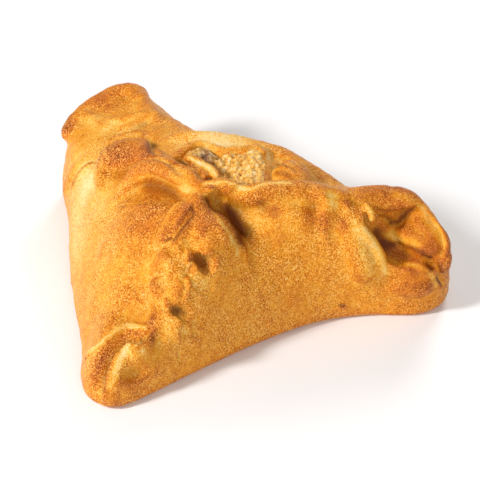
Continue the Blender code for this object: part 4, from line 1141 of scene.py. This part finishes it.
# %% Fewer triangles where the skin is even
MOST_TRIANGLES = 190000
now = 2 * len(crust.data.polygons)
if now > MOST_TRIANGLES:
    thin = crust.modifiers.new("fewer triangles", "DECIMATE")
    thin.ratio = MOST_TRIANGLES / now
    apply_modifiers(crust)
print("crust:", len(crust.data.polygons), "faces", [layer.name for layer in crust.data.attributes])

# %% [markdown]
# ## Helpers for materials
# A material is a net of nodes, and wiring it in long hand hides what it does. These short functions each add
# one kind of node and give back its output, so that a material below reads as a recipe.

# %% Shader helpers
def nodes_for(tree):
    """A short way to add nodes: add(type, {input: value or socket}, property=value) gives the new node."""
    def add(kind, inputs=None, **settings):
        node = tree.nodes.new(kind)
        for name, value in settings.items():
            setattr(node, name, value)
        for name, value in (inputs or {}).items():
            if isinstance(value, bpy.types.NodeSocket):
                tree.links.new(value, node.inputs[name])
            else:
                node.inputs[name].default_value = value
        return node
    return add


def srgb(r, g, b):
    """A colour as a screen shows it, 0 to 255, turned into the linear values that a shader wants."""
    return (*[((c / 255 + 0.055) / 1.055) ** 2.4 if c > 10 else c / 255 / 12.92 for c in (r, g, b)], 1.0)


def ramp(add, value, stops):
    """The colour that the stops give at the value."""
    node = add("ShaderNodeValToRGB", {"Fac": value})
    marks = node.color_ramp.elements
    while len(marks) < len(stops):
        marks.new(0.5)
    for mark, (place, colour) in zip(marks, stops):
        mark.position, mark.color = place, srgb(*colour)
    return node.outputs["Color"]


def number(add, how, a, b):
    """The result of a sum on two numbers."""
    return add("ShaderNodeMath", {0: a, 1: b}, operation=how).outputs[0]


def stored(add, name):
    """A number that was kept with the points."""
    return add("ShaderNodeAttribute", attribute_name=name).outputs["Fac"]


def noise(add, where, scale, detail, roughness=0.5):
    """Noise round 0.5, with scale as the number of waves in a metre."""
    sizes = {"Vector": where, "Scale": scale, "Detail": detail, "Roughness": roughness}
    return add("ShaderNodeTexNoise", sizes).outputs[0]


def spread(add, value, before, after):
    """The value moved from the range before to the range after, and held there."""
    ends = {"From Min": before[0], "From Max": before[1], "To Min": after[0], "To Max": after[1]}
    return add("ShaderNodeMapRange", {"Value": value, **ends}).outputs[0]


def mix(add, share, a, b):
    """A colour that goes from a to b with the share."""
    return add("ShaderNodeMix", {"Factor": share, "A": a, "B": b}, data_type="RGBA").outputs["Result"]


def material(name):
    """A new material, the short way to add its nodes, its shader and the place on the piece."""
    made = bpy.data.materials.new(name)
    made.use_nodes = True
    add = nodes_for(made.node_tree)
    return made, add, made.node_tree.nodes["Principled BSDF"], add("ShaderNodeTexCoord").outputs["Object"]


print("the brown of a crease, linear:", [round(v, 3) for v in srgb(112, 50, 0)[:3]])

# %% [markdown]
# ## Grain
# Dough and meat both have a fine grain that shows twice: as specks of colour and as relief that catches the
# light. Both come from one noise, so that a speck and its bump are in the same place. The two materials share
# it, each with its own size, so it is a node group: built once, with sockets for what differs.

# %% The grain group
GRAIN_HEIGHT = 0.0006
GRAIN_STRENGTH = 0.8
GRAIN_SOCKETS = [
    ("Vector", "INPUT", "NodeSocketVector"), ("Scale", "INPUT", "NodeSocketFloat"),
    ("Detail", "INPUT", "NodeSocketFloat"), ("Roughness", "INPUT", "NodeSocketFloat"),
    ("Value", "OUTPUT", "NodeSocketFloat"), ("Normal", "OUTPUT", "NodeSocketVector"),
]


def grain_group():
    """Value is a noise round 0.5, and Normal is that of a skin raised by the value."""
    group = bpy.data.node_groups.new("fine grain", "ShaderNodeTree")
    for name, way, kind in GRAIN_SOCKETS:
        group.interface.new_socket(name, in_out=way, socket_type=kind)
    add = nodes_for(group)
    given = add("NodeGroupInput").outputs
    value = noise(add, given["Vector"], given["Scale"], given["Detail"], given["Roughness"])
    bump = add("ShaderNodeBump", {"Height": value, "Strength": GRAIN_STRENGTH, "Distance": GRAIN_HEIGHT})
    add("NodeGroupOutput", {"Value": value, "Normal": bump.outputs["Normal"]})
    return group


GRAIN_GROUP = grain_group()


def grain(add, where, scale, detail, roughness):
    """The value and the normal of the fine grain."""
    sizes = {"Vector": where, "Scale": scale, "Detail": detail, "Roughness": roughness}
    made = add("ShaderNodeGroup", sizes, node_tree=GRAIN_GROUP)
    return made.outputs["Value"], made.outputs["Normal"]


print("grain group:", [socket[0] for socket in GRAIN_SOCKETS])

# %% [markdown]
# ## The baked dough
# Baked dough runs from cream through gold to brown, so one number, how far it is baked, picks the colour. The
# stored baking is broken up by specks and blotches. Light tips are laid over the specks: pale blisters with
# painted glints on them. The creases get a dark red brown, which in pits, hollows and under overhanging edges
# is painted shade. A little light goes through the surface, and egg wash makes the right corner glossier.

# %% Dough material
DOUGH_COLOURS = [
    (0.05, (255, 228, 174)), (0.25, (255, 204, 104)), (0.42, (247, 172, 42)), (0.55, (232, 140, 12)),
    (0.70, (202, 104, 2)), (0.88, (140, 62, 0)),
]
# pale tips of the grain: the tops of blisters, with painted glints on them
TIP_CREAM_AND_GLINT = srgb(255, 214, 138)
# dark red brown of creases and cracks, which in pits and hollows is painted shade
CREASE_AND_SHADE_BROWN = srgb(112, 50, 0)

dough, add, skin, where = material("baked dough")
speckle, grain_normal = grain(add, where, 2300.0, 2.0, 0.65)
blotch = noise(add, where, 260.0, 3.0, 0.6)
uneven = spread(add, noise(add, where, 110.0, 2.0), (0.35, 0.65), (0.6, 1.25))
grain_here = stored(add, "grain")
grainy = number(add, "MULTIPLY", grain_here, uneven)
specks = number(add, "MULTIPLY", number(add, "SUBTRACT", 0.5, speckle), number(add, "MULTIPLY", grainy, 1.3))
blotches = number(add, "MULTIPLY", number(add, "SUBTRACT", blotch, 0.5), 0.25)
baked = number(add, "ADD", number(add, "ADD", stored(add, "bake"), specks), blotches)
# light tips where the grain stands highest: pale blisters, with painted glints
tips_and_glints = number(add, "MULTIPLY", spread(add, speckle, (0.53, 0.70), (0, 0.55)), grainy)
colour = mix(add, tips_and_glints, ramp(add, baked, DOUGH_COLOURS), TIP_CREAM_AND_GLINT)
# crease brown, which in pits, hollows and under edges is painted shade
colour = mix(add, stored(add, "crease"), colour, CREASE_AND_SHADE_BROWN)
gloss = spread(add, grain_here, (0.4, 1), (0.22, 0.34))
for socket, source in (("Base Color", colour), ("Normal", grain_normal), ("Roughness", gloss)):
    dough.node_tree.links.new(source, skin.inputs[socket])
skin.inputs["Specular IOR Level"].default_value = 0.25
skin.inputs["Subsurface Weight"].default_value = 0.12
skin.inputs["Subsurface Radius"].default_value = (1.0, 0.45, 0.2)
skin.inputs["Subsurface Scale"].default_value = 0.002
print("dough:", len(dough.node_tree.nodes), "nodes")

# %% [markdown]
# The crust gets the dough as its material and is moved into the frame. It is hung on the body that carries
# it, and the solid that it takes the place of is hidden. Smooth shading hides the small faces.

# %% The finished crust
crust.data.materials.clear()
crust.data.materials.append(dough)
crust.data.shade_smooth()
write_points(crust, read_points(crust) - MIDDLE)
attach(crust, "root")
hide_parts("crust")
print("finished crust:", np.ptp(read_points(crust), axis=0).round(1), "mm across")

# %% [markdown]
# ## The filling
# Through the vent shows chopped meat on the left and, beside it, a rough bubbly mass. Loose crumbs would be
# truer but would leave gaps to see through, so it is one closed lump that fills the bowl. Its top is the
# vent's outline drawn in ring by ring, with noise for its lumps and pits.

# %% The filling's shape
FILLING_TOP = 40.2
FILLING_STEP = 0.3
# height in mm, size in mm and seed of each layer of lumps
LUMPS = [(0.5, 3.4, 11), (0.4, 1.5, 12), (0.4, 0.7, 13)]
PIT_DEPTH, PIT_SIZE, PIT_SEED, PIT_START = 1.6, 2.1, 14, 0.3
# how much higher the top gets with each mm to the right of x = -8 and behind y = 0
RISE_RIGHT, RISE_FROM, RISE_BACK = 0.03, -8, 0.18
RIM_DROP = 0.8
LOWER_START, LOWER_DEPTH = VENT_TOP - 3.4, VENT_DEPTH - 3.6


def filling_surface(rows=44, under=14):
    """Rings from the middle of the top out to the vent's edge, then down and in under it. The top's height is
    a slope plus lumps less pits, and it drops by the sixth power of the way out. Below, the outline is drawn
    in by (1 - t^3)^(1/3), as the vent's bowl is, but less deep."""
    edge = spline(VENT, FILLING_STEP, closed=True)
    middle = edge.mean(0)
    u = np.linspace(SMALLEST_RING, 1, rows)[:, None, None]
    flat = middle + (edge - middle) * u
    place = np.concatenate([flat, np.zeros((*flat.shape[:2], 1))], -1).reshape(-1, 3)
    pits = -PIT_DEPTH * np.clip(lattice_noise(place, PIT_SIZE, PIT_SEED) - PIT_START, 0, 1)
    slope = RISE_RIGHT * (place[:, 0] - RISE_FROM) + RISE_BACK * np.maximum(place[:, 1], 0)
    z = (FILLING_TOP + slope + layered_noise(place, LUMPS) + pits).reshape(flat.shape[:2])
    top = np.concatenate([flat, (z - RIM_DROP * u[..., 0] ** 6)[..., None]], -1)
    t = np.sin(np.linspace(0.15, 0.98, under) * math.pi / 2)
    size = np.maximum(1 - t**3, 0.001) ** (1 / 3)
    flat = middle + (edge - middle) * size[:, None, None]
    z = np.broadcast_to((LOWER_START - LOWER_DEPTH * t)[:, None, None], (*flat.shape[:2], 1))
    return np.concatenate([top, np.concatenate([flat, z], -1)])


filling = mesh_object("meat_filling", *closed_tube(filling_surface()))
print("filling:", len(filling.data.vertices), "points")

# %% [markdown]
# ## The filling's colour
# The meat is grey brown and moist, and the mass beside it is yellow and nearly white on its bubbles. Two
# materials would meet in a hard line, so there is one, and both colours come from the same grain. A stored
# number, 1 at the meat and 0 away from it, picks between the two.

# %% The filling's material
MEAT, MEAT_REACH = (-14.6, 7.0), 3.6
CRUMB_COLOURS = [
    (0.34, (186, 112, 16)), (0.46, (236, 170, 56)), (0.56, (252, 206, 112)), (0.68, (255, 238, 196)),
]
MEAT_COLOURS = [(0.3, (56, 26, 4)), (0.46, (112, 66, 22)), (0.58, (178, 128, 70)), (0.72, (230, 196, 142))]

place = read_points(filling)
keep(filling, "meat", patch_share(place[:, :2], MEAT, MEAT_REACH))
meat_and_crumb, add, skin, where = material("meat and crumb")
lumpy, lumpy_normal = grain(add, where, 900.0, 4.0, 0.7)
colour = mix(add, stored(add, "meat"), ramp(add, lumpy, CRUMB_COLOURS), ramp(add, lumpy, MEAT_COLOURS))
for socket, source in (("Base Color", colour), ("Normal", lumpy_normal)):
    meat_and_crumb.node_tree.links.new(source, skin.inputs[socket])
skin.inputs["Roughness"].default_value = 0.4
filling.data.materials.append(meat_and_crumb)
filling.data.shade_smooth()
write_points(filling, place - MIDDLE)
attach(filling, "root")
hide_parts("filling")
print("filling's material:", len(meat_and_crumb.node_tree.nodes), "nodes")

# %% [markdown]
# ## Floor
# The pie stands on a plain pale floor, so that nothing takes the eye off it and its own shadow shows where it
# rests. One large face is enough, and it belongs to the stage, not to the pie.

# %% Floor
FLOOR_HALF = 1.5
corners = [(-FLOOR_HALF, -FLOOR_HALF, 0), (FLOOR_HALF, -FLOOR_HALF, 0), (FLOOR_HALF, FLOOR_HALF, 0),
           (-FLOOR_HALF, FLOOR_HALF, 0)]
floor_mesh = bpy.data.meshes.new("floor")
floor_mesh.from_pydata(corners, [], [(0, 1, 2, 3)])
floor = bpy.data.objects.new("floor", floor_mesh)
bpy.context.scene.collection.objects.link(floor)
paper = bpy.data.materials.new("pale floor")
paper.use_nodes = True
paper.node_tree.nodes["Principled BSDF"].inputs["Base Color"].default_value = (0.99, 0.99, 0.99, 1)
paper.node_tree.nodes["Principled BSDF"].inputs["Roughness"].default_value = 0.7
floor_mesh.materials.append(paper)
print("floor:", 2 * FLOOR_HALF, "m wide")

# %% [markdown]
# ## Light
# A key light from the left draws the folds, a wide fill light from the front opens their shadows, and a light
# from behind marks the top edge. All are discs, because a round light gives round highlights with soft edges
# on the egg wash. A weak white sky lifts what they leave dark.

# %% Lights
# place and target in metres, size in metres and power in watts
LAMPS = {
    "key": ((-0.52, -0.24, 0.44), (0, 0, 0.02), 0.12, 4.15),
    "fill": ((0.12, -0.66, 0.38), (0, 0, 0.02), 0.40, 1.6),
    "rim": ((0.26, 0.60, 0.42), (0.01, 0, 0.03), 0.30, 2.4),
}
SKY_STRENGTH = 0.28


def aim(thing, place, target):
    """Puts a lamp or a camera at the place and turns it to look at the target."""
    thing.location = place
    thing.rotation_mode = "QUATERNION"
    thing.rotation_quaternion = (Vector(target) - Vector(place)).to_track_quat("-Z", "Y")


for name, (place, target, size, power) in LAMPS.items():
    disc = bpy.data.lights.new(name, "AREA")
    disc.shape = "DISK"
    disc.size = size
    disc.energy = power
    lamp = bpy.data.objects.new(name, disc)
    bpy.context.scene.collection.objects.link(lamp)
    aim(lamp, place, target)
sky = bpy.data.worlds.new("studio")
sky.use_nodes = True
sky.node_tree.nodes["Background"].inputs["Color"].default_value = (1, 1, 1, 1)
sky.node_tree.nodes["Background"].inputs["Strength"].default_value = SKY_STRENGTH
bpy.context.scene.world = sky
print("lights:", list(LAMPS))

# %% [markdown]
# ## Camera
# The camera looks down at the pie from the front. It stands 0.7 m off, so the near corner isn't stretched.
# The lens follows from that distance and from how many pixels a metre takes up at the pie.

# %% Camera
ELEVATION = math.radians(38)
DISTANCE = 0.7
LOOK_AT = (np.array([-4.6, -5.3, 20.0]) - MIDDLE) * MM
PIXELS_PER_METRE = 3400
PICTURE = 480
SENSOR = 36.0
camera_data = bpy.data.cameras.new("camera")
camera_data.sensor_width = SENSOR
camera_data.lens = PIXELS_PER_METRE * DISTANCE * SENSOR / PICTURE
camera = bpy.data.objects.new("camera", camera_data)
bpy.context.scene.collection.objects.link(camera)
aim(camera, LOOK_AT + DISTANCE * np.array([0, -math.cos(ELEVATION), math.sin(ELEVATION)]), LOOK_AT)
bpy.context.scene.camera = camera
bpy.context.scene.view_settings.view_transform = "Standard"
print("lens:", round(camera_data.lens, 1), "mm")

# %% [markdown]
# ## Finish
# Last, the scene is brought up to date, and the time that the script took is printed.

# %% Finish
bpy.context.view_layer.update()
print("done in", round(time.time() - started, 1), "s")
